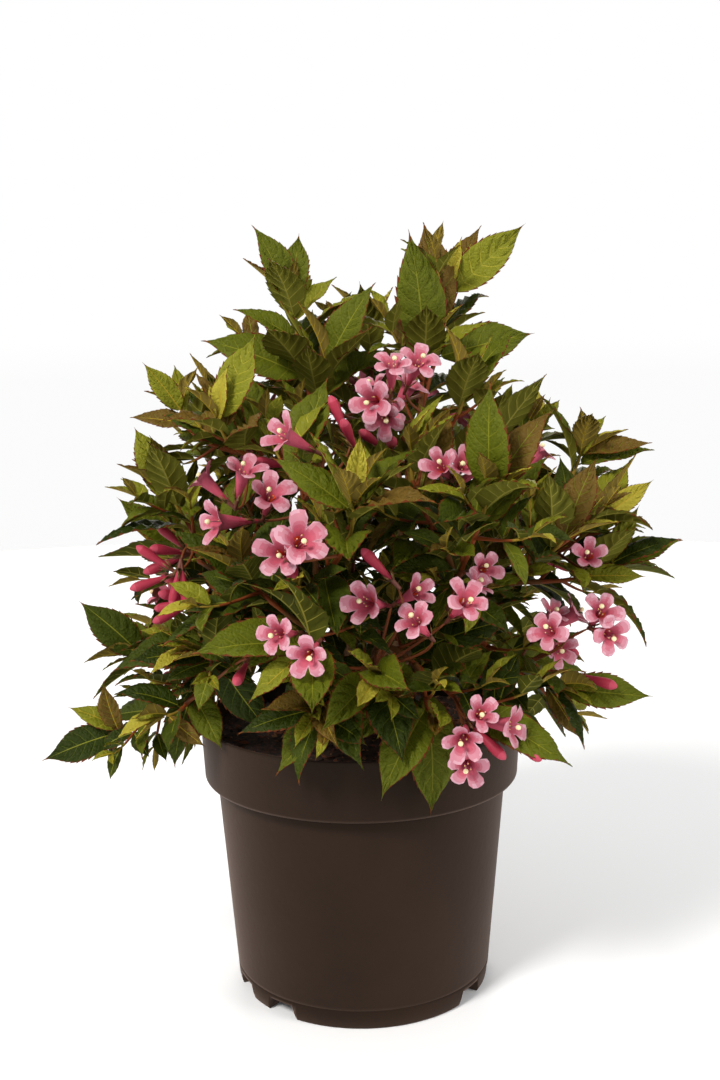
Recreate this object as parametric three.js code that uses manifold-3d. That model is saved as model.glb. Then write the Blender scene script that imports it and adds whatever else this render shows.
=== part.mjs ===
// A weigela in bloom, in its round nursery pot.
//
// Units are millimetres and +Z is up. The origin is on the ground, on the pot's axis.
// A bearing is in degrees, counter-clockwise from +X as seen from above, so the front, -Y, is 270.
// A place on the plant is [bearing, reach, height]: reach is its distance from the pot's axis.
//
// The wood is a short stem on the soil with ten boughs. Each mass of foliage grows from a bough's tip:
// one stem that forks into shoots, with leaves in crossed pairs that close up into a rosette at each
// tip, and trusses of trumpet flowers on stalks of their own. A leaf that would touch something that
// is already there is turned a little, and left out where no turn clears it.

import * as THREE from "three";
import { mergeVertices } from "three/addons/utils/BufferGeometryUtils.js";
import Module from "manifold-3d";

const wasm = await Module();
wasm.setup();

// ---------------------------------------------------------------- driving dimensions

const GAP = 0.3; // left between pieces that meet

const POT = {
  sides: 32,
  height: 160,
  rimRadius: 95,
  rimWidth: 1.7,
  collarBottom: 125.5,
  collarRadius: 93, // at its lower edge
  collarLip: 2, // height and depth of the slope round that edge
  shoulderRadius: 86, // of the body under the collar
  footRadius: 75.5,
  footWidth: 10,
  footEdge: 1, // taken off the foot ring's corners
  wall: 1.8,
  wallSlant: 0.9, // how much wider the inside is at the floor than at the foot
  stepBottom: 128.5, // where the inside widens from the body to the collar
  stepTop: 129.5,
  floorHeight: 9,
  floorTop: 11,
};

// The foot ring is cut through by three pairs of notches, with a narrow foot inside each pair.
const NOTCH = {
  height: 8.5,
  mouth: 22,
  crown: 16,
  pairAt: 338,
  pairTurns: [0, 120, 240],
  pairSpread: 13.5,
};

const SOIL = { top: 154, flatRadius: 24, edge: 150.5, roughness: 1.2, rings: [70, 44] };

// The stem's profile is radii at shares of its height.
const STEM = {
  height: 24,
  sides: 12,
  profile: [[15, 0], [11.5, 0.28], [9.5, 0.8], [7, 1]],
  lean: [1.5, -1],
};

const BOUGH = { baseRadius: 3.8, tipRadius: 3, sides: 6, steps: 5, inset: 3, rise: 12 };

const SHOOT = {
  baseRadius: 1.9,
  sideBaseRadius: 1.75,
  tipRadius: 1.6,
  sides: 3,
  steps: 4,
  sideSteps: 3,
  rootSpread: 2.4, // from the bough's line to the root of a mass
  forkBack: 0.62, // of the leading shoot's length, from its tip down to where the others leave it
  forkTurn: 0.5, // how far a fork leaves the leading shoot's line for its own tip
};

// A shoot's tip points outwards low on the plant, and upwards near its top: pitch in degrees.
const TIP_PITCH = { levelAt: 175, perMillimetre: 0.5, least: -12, most: 80 };

const CURVE_PULL = 0.36; // of the distance between a curve's ends, out to each of its handles

const LEAF = {
  length: 64,
  widthShare: 0.43,
  widestAt: 0.42, // as a share of its length from the foot
  thickness: 0.9,
  pairs: [
    // from the shoot's tip down: share of the length, angle to the shoot, distance below the last pair
    { share: 0.66, angle: 16, spacing: 2 },
    { share: 0.88, angle: 34, spacing: 9 },
    { share: 1, angle: 50, spacing: 13 },
    { share: 1.04, angle: 60, spacing: 18 },
  ],
  bareShare: 0.2, // of a shoot, at its root
  turnJitter: 24,
  angleJitter: 16,
  sizes: [0.88, 1.12],
  bends: [0.25, 0.7],
  folds: [0.25, 0.5],
  lift: 0.16, // how far a leaf turns up from its angle
  steepestDroop: -0.5, // the lowest z of its direction
  levelling: 0.6, // how far its upper side turns from the shoot's line to the sky
};

// Turns that a leaf tries, in degrees about its shoot and away from it.
const TRIES = [[0, 0], [18, 0], [-18, 0], [0, -16], [0, 14], [32, -8], [-32, -8]];

const TRUSS = {
  stalkRadius: 1.1,
  steps: 2,
  sink: 1, // of a stalk's or a flower's foot into what bears it
  jointShares: [0.3, 0.4, 0.5, 0.6, 0.7, 0.8], // of a shoot's length, back from its tip
  fan: 30, // degrees from the truss's line to each flower, where there is more than one
  fanJitter: 8,
  turnJitter: 40,
  sizes: [0.94, 1.06],
  straighten: 0.4, // how far the stalk's end turns back to its straight line
};

const LOBES = 5;
const BLOOM = { length: 38, mouthRadius: 14.5, notchRadius: 7, notchAt: 0.88, throatAt: 0.74 };
const BUD = { length: 28, radius: 3.1, widestAt: 0.7 };

// How far the shell that a piece is tested by stands out of it.
const CLEARANCE = { bough: 1, twig: 0.5, leaf: 0.45, pot: 1.5 };
const LOOSE_FOOT = 0.16; // leaves of one shoot may meet up to this share of their length

// ---------------------------------------------------------------- the plant's plan

// A bough leaves the stem at its bearing and slope, and ends at its own reach and height.
const BOUGHS = {
  bough_left: { bearing: 190, slope: 35, from: 9, reach: 52, height: 208 },
  bough_front_left: { bearing: 238, slope: 45, from: 16, reach: 48, height: 216 },
  bough_front: { bearing: 280, slope: 35, from: 9, reach: 50, height: 206 },
  bough_front_right: { bearing: 320, slope: 42, from: 13, reach: 50, height: 216 },
  bough_right: { bearing: 2, slope: 38, from: 9, reach: 54, height: 214 },
  bough_back_right: { bearing: 48, slope: 42, from: 15, reach: 50, height: 212 },
  bough_back: { bearing: 96, slope: 38, from: 9, reach: 50, height: 210 },
  bough_back_left: { bearing: 146, slope: 42, from: 15, reach: 50, height: 212 },
  bough_top_left: { bearing: 195, slope: 78, from: 20, reach: 20, height: 288 },
  bough_top_right: { bearing: 345, slope: 76, from: 20, reach: 28, height: 284 },
};

// Each mass is named for its side, and lists the tips of its shoots, the leading one first.
const FRONT_MASSES = [
  ["top_left", "bough_top_left", [[180, 37, 402], [213, 20, 368]]],
  ["upper_left", "bough_top_left", [[219, 94, 336], [188, 100, 340]]],
  ["top_right", "bough_top_right", [[0, 55, 408], [352, 40, 372]]],
  ["upper_right", "bough_top_right", [[326, 71, 350], [8, 108, 324]]],
  ["left", "bough_left", [[196, 110, 296], [172, 112, 262]]],
  ["left_out", "bough_left", [[184, 128, 198], [222, 112, 214]]],
  ["low_left", "bough_left", [[196, 142, 161], [209, 122, 176]]],
  ["centre", "bough_front_left", [[269, 130, 297], [252, 100, 318]]],
  ["centre_left", "bough_front_left", [[260, 135, 229], [240, 118, 262]]],
  ["front", "bough_front", [[274, 112, 209], [258, 104, 190]]],
  ["low_right", "bough_front", [[303, 124, 184], [289, 112, 188]]],
  ["front_right", "bough_front_right", [[301, 126, 300], [288, 90, 318]]],
  ["right_low", "bough_front_right", [[327, 127, 192]]],
  ["right", "bough_right", [[332, 125, 270], [348, 144, 252]]],
  ["upper_outer_right", "bough_right", [[352, 140, 278], [0, 130, 312]]],
];

// Behind, each bough carries a low, a middle and a high mass, set by the same steps.
const BACK_BOUGHS = ["bough_back_right", "bough_back", "bough_back_left"];
const BACK_LAYERS = [
  { layer: "low", turn: -8, reach: 138, height: 184, second: [24, -14, 14] },
  { layer: "middle", turn: 10, reach: 134, height: 246, second: [-26, -10, 12] },
  { layer: "high", turn: -6, reach: 104, height: 316, second: [30, -22, 28] },
];
const TOP_BACK = ["top_back", "bough_top_right", [[78, 40, 380], [100, 84, 352]]];

// Trusses: the mass, the truss's foot, the way it faces (bearing and pitch), its blooms and its buds.
const TRUSSES = [
  ["upper_left", [232, 103, 292], [235, 62], 2, 0],
  ["centre", [240, 98, 286], [250, 20], 2, 0],
  ["centre", [250, 92, 268], [262, 12], 3, 1],
  ["upper_left", [240, 70, 312], [262, 30], 0, 2],
  ["top_right", [300, 34, 334], [275, 45], 3, 0],
  ["top_right", [290, 50, 318], [262, 50], 2, 2],
  ["upper_right", [314, 72, 296], [290, 40], 2, 0],
  ["upper_right", [332, 96, 300], [310, 40], 1, 1],
  ["front", [279, 104, 244], [275, 28], 2, 0],
  ["front_right", [296, 104, 240], [292, 40], 2, 1],
  ["centre_left", [257, 112, 222], [262, 15], 3, 0],
  ["left", [200, 100, 262], [188, 12], 0, 3],
  ["left", [203, 98, 236], [192, 8], 0, 4],
  ["right_low", [334, 108, 214], [325, 20], 3, 1],
  ["right", [340, 118, 240], [338, 35], 2, 0],
  ["low_right", [296, 122, 186], [296, -8], 3, 1],
];

// Behind, each of those masses has one truss, set from its leading tip by the same step.
const BACK_TRUSS = { step: [12, -30, -24], pitch: 25, blooms: 2, buds: [1, 0, 1] };

// ---------------------------------------------------------------- small tools

const RADIANS = Math.PI / 180;
const UP = new THREE.Vector3(0, 0, 1);

/** The unit vector at a bearing and a pitch above the horizon, both in degrees. */
function heading(bearing, pitch) {
  const flat = Math.cos(pitch * RADIANS);
  return new THREE.Vector3(
    flat * Math.cos(bearing * RADIANS),
    flat * Math.sin(bearing * RADIANS),
    Math.sin(pitch * RADIANS),
  );
}

/** The point at [bearing, reach, height]. */
function place([bearing, reach, height]) {
  return heading(bearing, 0).multiplyScalar(reach).setZ(height);
}

/** The sum of a point and any number of [vector, factor] pairs. */
function reachFrom(point, ...steps) {
  const sum = point.clone();
  for (const [vector, factor] of steps) sum.addScaledVector(vector, factor);
  return sum;
}

/** The part of a vector that is square to an axis, as a unit vector. */
function squareTo(vector, axis) {
  return reachFrom(vector, [axis, -vector.dot(axis)]).normalize();
}

/** A repeatable stream of numbers from 0 to 1. */
function numbersFrom(seed) {
  let state = seed >>> 0;
  const next = () => {
    state = (Math.imul(state, 1664525) + 1013904223) >>> 0;
    return state / 2 ** 32;
  };
  for (let warmUp = 0; warmUp < 4; warmUp += 1) next();
  return next;
}

/** A number of the stream, between two limits. */
function between([low, high], random) {
  return low + (high - low) * random();
}

/** A closed solid from points and triangles of their indices. */
function solidFrom(points, triangles) {
  const mesh = new wasm.Mesh({
    numProp: 3,
    vertProperties: new Float32Array(points.flatMap((p) => p.toArray())),
    triVerts: new Uint32Array(triangles.flat()),
  });
  return new wasm.Manifold(mesh);
}

/** A closed solid from a three.js geometry. */
function solidOf(geometry) {
  geometry.deleteAttribute("normal");
  geometry.deleteAttribute("uv");
  const merged = mergeVertices(geometry, 1e-4);
  const mesh = new wasm.Mesh({
    numProp: 3,
    vertProperties: merged.attributes.position.array,
    triVerts: new Uint32Array(merged.index.array),
  });
  return new wasm.Manifold(mesh);
}

/** A surface of revolution about +Z; the profile is [radius, height] pairs. */
function turned(profile, sides) {
  const points = profile.map(([radius, height]) => new THREE.Vector2(radius, height));
  return new THREE.LatheGeometry(points, sides).rotateX(Math.PI / 2);
}

/** The largest body of a solid, with its sealed hollows filled and its loose scraps dropped. */
function mainBody(solid) {
  const bodies = solid.decompose();
  return bodies.reduce((best, body) => (body.volume() > best.volume() ? body : best));
}

/** The named three.js mesh of a solid. */
function meshOf(name, solid, finish) {
  const { vertProperties, triVerts } = solid.getMesh();
  const geometry = new THREE.BufferGeometry();
  geometry.setAttribute("position", new THREE.BufferAttribute(vertProperties, 3));
  geometry.setIndex(new THREE.BufferAttribute(triVerts, 1));
  geometry.computeVertexNormals();
  const mesh = new THREE.Mesh(geometry, new THREE.MeshStandardMaterial(finish));
  mesh.name = name;
  return mesh;
}

// ---------------------------------------------------------------- limbs

/** Any unit vector square to an axis: a level one, but along X where the axis is upright. */
function crossways(axis) {
  const level = new THREE.Vector3(-axis.y, axis.x, 0);
  return squareTo(level.length() > 0.1 ? level : new THREE.Vector3(1, 0, 0), axis);
}

/** A path along a curve: its points, with the direction and a cross direction at each. */
function pathAlong(curve, steps, turn = 0) {
  const points = curve.getPoints(steps);
  const along = points.map((_, i) => curve.getTangent(i / steps));
  const across = [crossways(along[0]).applyAxisAngle(along[0], turn)];
  for (let i = 1; i <= steps; i += 1) across.push(squareTo(across[i - 1], along[i]));
  return { points, along, across };
}

/** The place on a path at a distance back from its tip. */
function backFromTip(path, distance) {
  let left = distance;
  let i = path.points.length - 1;
  let span = path.points[i].distanceTo(path.points[i - 1]);
  while (left > span && i > 1) {
    left -= span;
    i -= 1;
    span = path.points[i].distanceTo(path.points[i - 1]);
  }
  const share = Math.min(left / span, 1);
  return {
    point: path.points[i].clone().lerp(path.points[i - 1], share),
    along: path.along[i].clone().lerp(path.along[i - 1], share).normalize(),
    across: path.across[i],
  };
}

/** The length of a path. */
function lengthOf({ points }) {
  return points.slice(1).reduce((sum, point, i) => sum + point.distanceTo(points[i]), 0);
}

/** The corners and triangles of a tapering limb with flat ends. */
function limbShape(path, startRadius, endRadius, sides) {
  const last = path.points.length - 1;
  const corners = path.points.flatMap((point, i) => {
    const radius = THREE.MathUtils.lerp(startRadius, endRadius, i / last);
    const other = new THREE.Vector3().crossVectors(path.along[i], path.across[i]);
    return Array.from({ length: sides }, (_, k) => {
      const turn = (2 * Math.PI * (k + 0.5)) / sides;
      return reachFrom(point, [path.across[i], radius * Math.cos(turn)], [other, radius * Math.sin(turn)]);
    });
  });
  const triangles = [];
  for (let i = 0; i < last; i += 1) {
    for (let k = 0; k < sides; k += 1) {
      const [a, b] = [i * sides + k, i * sides + ((k + 1) % sides)];
      triangles.push([a, b, b + sides], [a, b + sides, a + sides]);
    }
  }
  for (let k = 1; k < sides - 1; k += 1) {
    triangles.push([0, k + 1, k], [last * sides, last * sides + k, last * sides + k + 1]);
  }
  return { corners, triangles };
}

/** A curve that leaves a point in one direction and comes to its end in another. */
function bendTo(start, leaving, end, arriving) {
  const pull = start.distanceTo(end) * CURVE_PULL;
  const [first, second] = [reachFrom(start, [leaving, pull]), reachFrom(end, [arriving, -pull])];
  return new THREE.CubicBezierCurve3(start, first, second, end);
}

/** The way a shoot points at its tip. */
function tipDirection([bearing, , height]) {
  const { levelAt, perMillimetre, least, most } = TIP_PITCH;
  return heading(bearing, THREE.MathUtils.clamp((height - levelAt) * perMillimetre, least, most));
}

// ---------------------------------------------------------------- leaves and blossom

/** The corners and triangles of a leaf, from a share of its length on: its outline and its rib. */
function leafShape(leaf, swell = 0, from = 0) {
  const { root, direction, face, length, bend, fold } = leaf;
  const side = new THREE.Vector3().crossVectors(face, direction);
  const halfWidth = (length * LEAF.widthShare) / 2 + swell;
  const halfThickness = LEAF.thickness / 2 + swell;
  const onRib = (share, lift) => {
    const turn = bend * share;
    const ahead = (length * Math.sin(turn)) / bend + lift * Math.sin(turn);
    const above = (-length * (1 - Math.cos(turn))) / bend + lift * Math.cos(turn);
    return reachFrom(root, [direction, ahead], [face, above]);
  };
  const onEdge = (hand) => {
    const high = onRib(LEAF.widestAt, halfWidth * Math.sin(fold));
    return reachFrom(high, [side, hand * halfWidth * Math.cos(fold)]);
  };
  const corners = [
    onRib(from, 0),
    onEdge(1),
    onRib(1 + swell / length, 0),
    onEdge(-1),
    onRib(LEAF.widestAt, halfThickness),
    onRib(LEAF.widestAt, -halfThickness),
  ];
  const triangles = [];
  for (let i = 0; i < 4; i += 1) {
    const next = (i + 1) % 4;
    triangles.push([4, next, i], [5, i, next]);
  }
  return { corners, triangles };
}

/** A ring of corners round an axis, one for each radius, at distances along it that take turns. */
function ringOf(root, axis, across, distances, radii) {
  const other = new THREE.Vector3().crossVectors(axis, across);
  return radii.map((radius, k) => {
    const turn = (2 * Math.PI * k) / radii.length;
    return reachFrom(
      root,
      [axis, distances[k % distances.length]],
      [across, radius * Math.cos(turn)],
      [other, radius * Math.sin(turn)],
    );
  });
}

/** The corners and triangles of a five-lobed trumpet flower. */
function bloomShape({ root, direction, across, size }, swell = 0) {
  const length = BLOOM.length * size;
  const star = Array.from({ length: 2 * LOBES }, (_, k) => {
    return (k % 2 ? BLOOM.notchRadius : BLOOM.mouthRadius) * size + swell;
  });
  const corners = [
    ...ringOf(root, direction, across, [0], Array(LOBES).fill(TRUSS.stalkRadius + swell)),
    ...ringOf(root, direction, across, [length, BLOOM.notchAt * length], star),
    reachFrom(root, [direction, BLOOM.throatAt * length]),
  ];
  const throat = 3 * LOBES;
  const triangles = [[0, 2, 1], [0, 3, 2], [0, 4, 3]];
  for (let k = 0; k < LOBES; k += 1) {
    const next = (k + 1) % LOBES;
    const [tip, notch, nextTip] = [LOBES + 2 * k, LOBES + 1 + 2 * k, LOBES + 2 * next];
    triangles.push([k, notch, tip], [k, next, notch], [next, nextTip, notch]);
    triangles.push([throat, tip, notch], [throat, notch, nextTip]);
  }
  return { corners, triangles };
}

/** The corners and triangles of a club-shaped bud. */
function budShape({ root, direction, across, size }, swell = 0) {
  const length = BUD.length * size;
  const radii = Array(LOBES).fill(BUD.radius * size + swell);
  const corners = [
    root.clone(),
    ...ringOf(root, direction, across, [BUD.widestAt * length], radii),
    reachFrom(root, [direction, length]),
  ];
  const triangles = [];
  for (let k = 0; k < LOBES; k += 1) {
    const [here, next] = [1 + k, 1 + ((k + 1) % LOBES)];
    triangles.push([0, next, here], [LOBES + 1, here, next]);
  }
  return { corners, triangles };
}

// ---------------------------------------------------------------- keeping clear

/** Whether the segment from p to q passes through triangle abc. */
function pierces(p, q, [a, b, c]) {
  const [ux, uy, uz] = [b.x - a.x, b.y - a.y, b.z - a.z];
  const [vx, vy, vz] = [c.x - a.x, c.y - a.y, c.z - a.z];
  const [dx, dy, dz] = [q.x - p.x, q.y - p.y, q.z - p.z];
  const [hx, hy, hz] = [dy * vz - dz * vy, dz * vx - dx * vz, dx * vy - dy * vx];
  const det = ux * hx + uy * hy + uz * hz;
  if (Math.abs(det) < 1e-9) return false;
  const [sx, sy, sz] = [p.x - a.x, p.y - a.y, p.z - a.z];
  const u = (sx * hx + sy * hy + sz * hz) / det;
  if (u < 0 || u > 1) return false;
  const [kx, ky, kz] = [sy * uz - sz * uy, sz * ux - sx * uz, sx * uy - sy * ux];
  const v = (dx * kx + dy * ky + dz * kz) / det;
  if (v < 0 || u + v > 1) return false;
  const t = (vx * kx + vy * ky + vz * kz) / det;
  return t >= 0 && t <= 1;
}

/** A shell of triangles with its box, and what it belongs to. */
function shellOf({ corners, triangles }, owner) {
  const box = new THREE.Box3().setFromPoints(corners);
  return { faces: triangles.map((t) => t.map((i) => corners[i])), box, ...owner };
}

/** Whether an edge of one set of faces passes through a face of the other. */
function edgesPierce(faces, others) {
  return faces.some(([a, b, c]) =>
    others.some((face) => pierces(a, b, face) || pierces(b, c, face) || pierces(c, a, face)),
  );
}

/** Whether two shells cross; shells of one shoot are let off at their feet. */
function shellsCross(one, other) {
  if (one.truss !== undefined && one.truss === other.truss) return false;
  if (!one.box.intersectsBox(other.box)) return false;
  const sameShoot = one.shoot !== undefined && one.shoot === other.shoot;
  if (sameShoot && (one.footless === undefined || other.footless === undefined)) return false;
  const [mine, theirs] = sameShoot ? [one.footless, other.footless] : [one.faces, other.faces];
  return edgesPierce(mine, theirs) || edgesPierce(theirs, mine);
}

// ---------------------------------------------------------------- pot, soil and stem

/** The pot: a hollow turned body with a wider collar, on a notched foot ring. */
function makePot() {
  const innerFoot = POT.footRadius - POT.footWidth;
  const profile = [
    [0, POT.floorHeight],
    [innerFoot, POT.floorHeight],
    [innerFoot + POT.footEdge, 0],
    [POT.footRadius - POT.footEdge, 0],
    [POT.footRadius, POT.footEdge],
    [POT.shoulderRadius, POT.collarBottom + 0.5],
    [POT.collarRadius - POT.collarLip, POT.collarBottom],
    [POT.collarRadius, POT.collarBottom + POT.collarLip],
    [POT.rimRadius, POT.height - 1],
    [POT.rimRadius - 0.6, POT.height],
    [POT.rimRadius - POT.rimWidth, POT.height],
    [POT.collarRadius - POT.wall, POT.stepTop],
    [POT.shoulderRadius - POT.wall, POT.stepBottom],
    [POT.footRadius - POT.wall + POT.wallSlant, POT.floorTop],
    [0, POT.floorTop],
  ];
  const notches = NOTCH.pairTurns.flatMap((turn) => {
    return [-1, 1].map((hand) => makeNotch(NOTCH.pairAt + turn + hand * NOTCH.pairSpread));
  });
  return notches.reduce((pot, notch) => pot.subtract(notch), solidOf(turned(profile, POT.sides)));
}

/** A wedge with sloping sides, through the foot ring at a bearing. */
function makeNotch(bearing) {
  const shape = new THREE.Shape([
    new THREE.Vector2(-NOTCH.mouth / 2, -1),
    new THREE.Vector2(NOTCH.mouth / 2, -1),
    new THREE.Vector2(NOTCH.crown / 2, NOTCH.height),
    new THREE.Vector2(-NOTCH.crown / 2, NOTCH.height),
  ]);
  const depth = 2 * POT.footWidth;
  const geometry = new THREE.ExtrudeGeometry(shape, { depth, bevelEnabled: false });
  geometry.rotateX(Math.PI / 2);
  geometry.translate(0, POT.footRadius + POT.footWidth / 2, 0);
  geometry.rotateZ((bearing - 90) * RADIANS);
  return solidOf(geometry);
}

/** The radius of the soil's side at a height, just inside the pot's wall. */
function soilRadius(height) {
  const [lowRadius, lowHeight, highRadius, highHeight] = height > POT.stepBottom
    ? [POT.collarRadius, POT.stepTop, POT.rimRadius, POT.height]
    : [POT.footRadius + POT.wallSlant, POT.floorTop, POT.shoulderRadius, POT.stepBottom];
  const share = (height - lowHeight) / (highHeight - lowHeight);
  return THREE.MathUtils.lerp(lowRadius, highRadius, share) - POT.wall - 2 * GAP;
}

/** The soil: a flat patch round the stem, and a rough slope down to the pot's wall. */
function makeSoil() {
  const random = numbersFrom(5);
  const bottom = POT.floorTop + GAP;
  const shoulder = POT.stepTop + GAP;
  const profile = [
    [0, bottom],
    [soilRadius(bottom), bottom],
    [soilRadius(POT.collarBottom), POT.collarBottom],
    [soilRadius(POT.collarBottom), shoulder],
    [soilRadius(shoulder), shoulder],
    [soilRadius(SOIL.edge), SOIL.edge],
    ...SOIL.rings.map((radius) => {
      const share = (radius - SOIL.flatRadius) / (POT.rimRadius - SOIL.flatRadius);
      return [radius, THREE.MathUtils.lerp(SOIL.top, SOIL.edge, share)];
    }),
    [SOIL.flatRadius, SOIL.top],
    [0, SOIL.top],
  ];
  const geometry = turned(profile, POT.sides);
  geometry.deleteAttribute("normal");
  geometry.deleteAttribute("uv");
  const merged = mergeVertices(geometry, 1e-4);
  const { position } = merged.attributes;
  for (let i = 0; i < position.count; i += 1) {
    const radius = Math.hypot(position.getX(i), position.getY(i));
    const rough = radius > SOIL.flatRadius + 1 && radius < SOIL.rings[0] + 1;
    const bump = (2 * random() - 1) * SOIL.roughness;
    if (rough && position.getZ(i) > SOIL.edge) position.setZ(i, position.getZ(i) + bump);
  }
  return solidOf(merged);
}

const stemFoot = new THREE.Vector3(0, 0, SOIL.top + GAP);

/** The short stem, swollen by a margin: it leans, tapers and flares out at its flat foot. */
function makeStem(margin = 0) {
  const outline = STEM.profile.map(([radius, share]) => [radius + margin, share * STEM.height]);
  outline[0][1] -= margin;
  outline.at(-1)[1] += margin;
  const profile = [[0, -margin], ...outline, [0, STEM.height + margin]];
  const geometry = turned(profile, STEM.sides);
  const [leanX, leanY] = STEM.lean;
  const shear = new THREE.Matrix4().set(
    1, 0, leanX / STEM.height, 0,
    0, 1, leanY / STEM.height, 0,
    0, 0, 1, 0,
    0, 0, 0, 1,
  );
  geometry.applyMatrix4(shear);
  geometry.translate(...stemFoot.toArray());
  return solidOf(geometry);
}

// ---------------------------------------------------------------- growing the plan

/** A bough's path, from inside the stem to its tip. */
function boughPath({ bearing, slope, from, reach, height }) {
  const start = reachFrom(stemFoot, [UP, from], [heading(bearing, 0), BOUGH.inset]);
  const end = place([bearing, reach, height]);
  const curve = bendTo(start, heading(bearing, slope), end, heading(bearing, slope + BOUGH.rise));
  return pathAlong(curve, BOUGH.steps);
}

/** The masses behind, by bough and layer. */
function backMasses() {
  return BACK_BOUGHS.flatMap((bough) =>
    BACK_LAYERS.map(({ layer, turn, reach, height, second }) => {
      const lead = [BOUGHS[bough].bearing + turn, reach, height];
      const name = bough.replace("bough_", "") + "_" + layer;
      return [name, bough, [lead, lead.map((value, i) => value + second[i])]];
    }),
  );
}

/** The trusses behind: one on each of those masses. */
function backTrusses() {
  return backMasses().map(([name, , [lead]], i) => {
    const foot = lead.map((value, part) => value + BACK_TRUSS.step[part]);
    const buds = BACK_TRUSS.buds[i % BACK_TRUSS.buds.length];
    return [name, foot, [lead[0], BACK_TRUSS.pitch], BACK_TRUSS.blooms, buds];
  });
}

/**
 * The shoots of a mass: the leading one from the bough's tip, and the others from a fork on it.
 * Each shoot's leaves start from a turn of their own, as many radians as its number.
 */
function growShoots([mass, , tips], limb, turn, firstShoot) {
  const end = limb.points.at(-1);
  const direction = limb.along.at(-1);
  const aside = limb.across.at(-1).clone().applyAxisAngle(direction, turn * RADIANS);
  const start = reachFrom(end, [direction, GAP], [aside, SHOOT.rootSpread]);
  const leadCurve = bendTo(start, direction, place(tips[0]), tipDirection(tips[0]));
  const lead = pathAlong(leadCurve, SHOOT.steps, firstShoot);
  return tips.map((tip, i) => {
    const shoot = firstShoot + i;
    if (i === 0) return { mass, shoot, path: lead, base: SHOOT.baseRadius };
    const fork = backFromTip(lead, lengthOf(lead) * SHOOT.forkBack);
    const toTip = place(tip).sub(fork.point).normalize();
    const leaving = fork.along.clone().lerp(toTip, SHOOT.forkTurn).normalize();
    const curve = bendTo(fork.point, leaving, place(tip), tipDirection(tip));
    return { mass, shoot, path: pathAlong(curve, SHOOT.sideSteps, shoot), base: SHOOT.sideBaseRadius };
  });
}

/** The turns about its bough's tip, in degrees, at which each mass starts: evenly, by their sides. */
function rootTurns(masses, boughs) {
  const wish = ([, bough, tips]) => {
    const limb = boughs[bough];
    const [direction, across] = [limb.along.at(-1), limb.across.at(-1)];
    const other = new THREE.Vector3().crossVectors(direction, across);
    const away = place(tips[0]).sub(limb.points.at(-1));
    return Math.atan2(away.dot(other), away.dot(across)) / RADIANS;
  };
  return masses.map((mass) => {
    const shared = masses.filter(([, bough]) => bough === mass[1]);
    shared.sort((one, two) => wish(one) - wish(two));
    return wish(shared[0]) + (360 / shared.length) * shared.indexOf(mass);
  });
}

/** The leaves that a shoot would like to bear, from its tip downwards. */
function leavesOf({ mass, shoot, path }) {
  const random = numbersFrom(1000 + 37 * shoot);
  const leafy = (1 - LEAF.bareShare) * lengthOf(path);
  const leaves = [];
  let back = 0;
  for (const [rank, pair] of LEAF.pairs.entries()) {
    back += pair.spacing;
    if (back > leafy) break;
    const node = backFromTip(path, back);
    for (const hand of [0, 180]) {
      const turn = 90 * rank + hand + LEAF.turnJitter * (random() - 0.5);
      const angle = pair.angle + LEAF.angleJitter * (random() - 0.5);
      const length = LEAF.length * pair.share * between(LEAF.sizes, random);
      const bend = between(LEAF.bends, random);
      const fold = between(LEAF.folds, random);
      leaves.push({ mass, shoot, rank, node, turn, angle, length, bend, fold });
    }
  }
  return leaves;
}

/** A leaf set on its node: where it points, and the way its upper side faces. */
function setLeaf(leaf, [extraTurn, extraAngle]) {
  const { node, turn, angle } = leaf;
  const other = new THREE.Vector3().crossVectors(node.along, node.across);
  const spin = (turn + extraTurn) * RADIANS;
  const away = (angle + extraAngle) * RADIANS;
  const outward = reachFrom(new THREE.Vector3(), [node.across, Math.cos(spin)], [other, Math.sin(spin)]);
  const direction = reachFrom(
    new THREE.Vector3(),
    [node.along, Math.cos(away)],
    [outward, Math.sin(away)],
    [UP, LEAF.lift],
  ).normalize();
  direction.setZ(Math.max(direction.z, LEAF.steepestDroop)).normalize();
  const natural = squareTo(node.along, direction);
  const level = squareTo(UP, direction);
  const face = squareTo(natural.lerp(level, LEAF.levelling), direction);
  return { ...leaf, root: node.point, direction, face };
}

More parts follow.
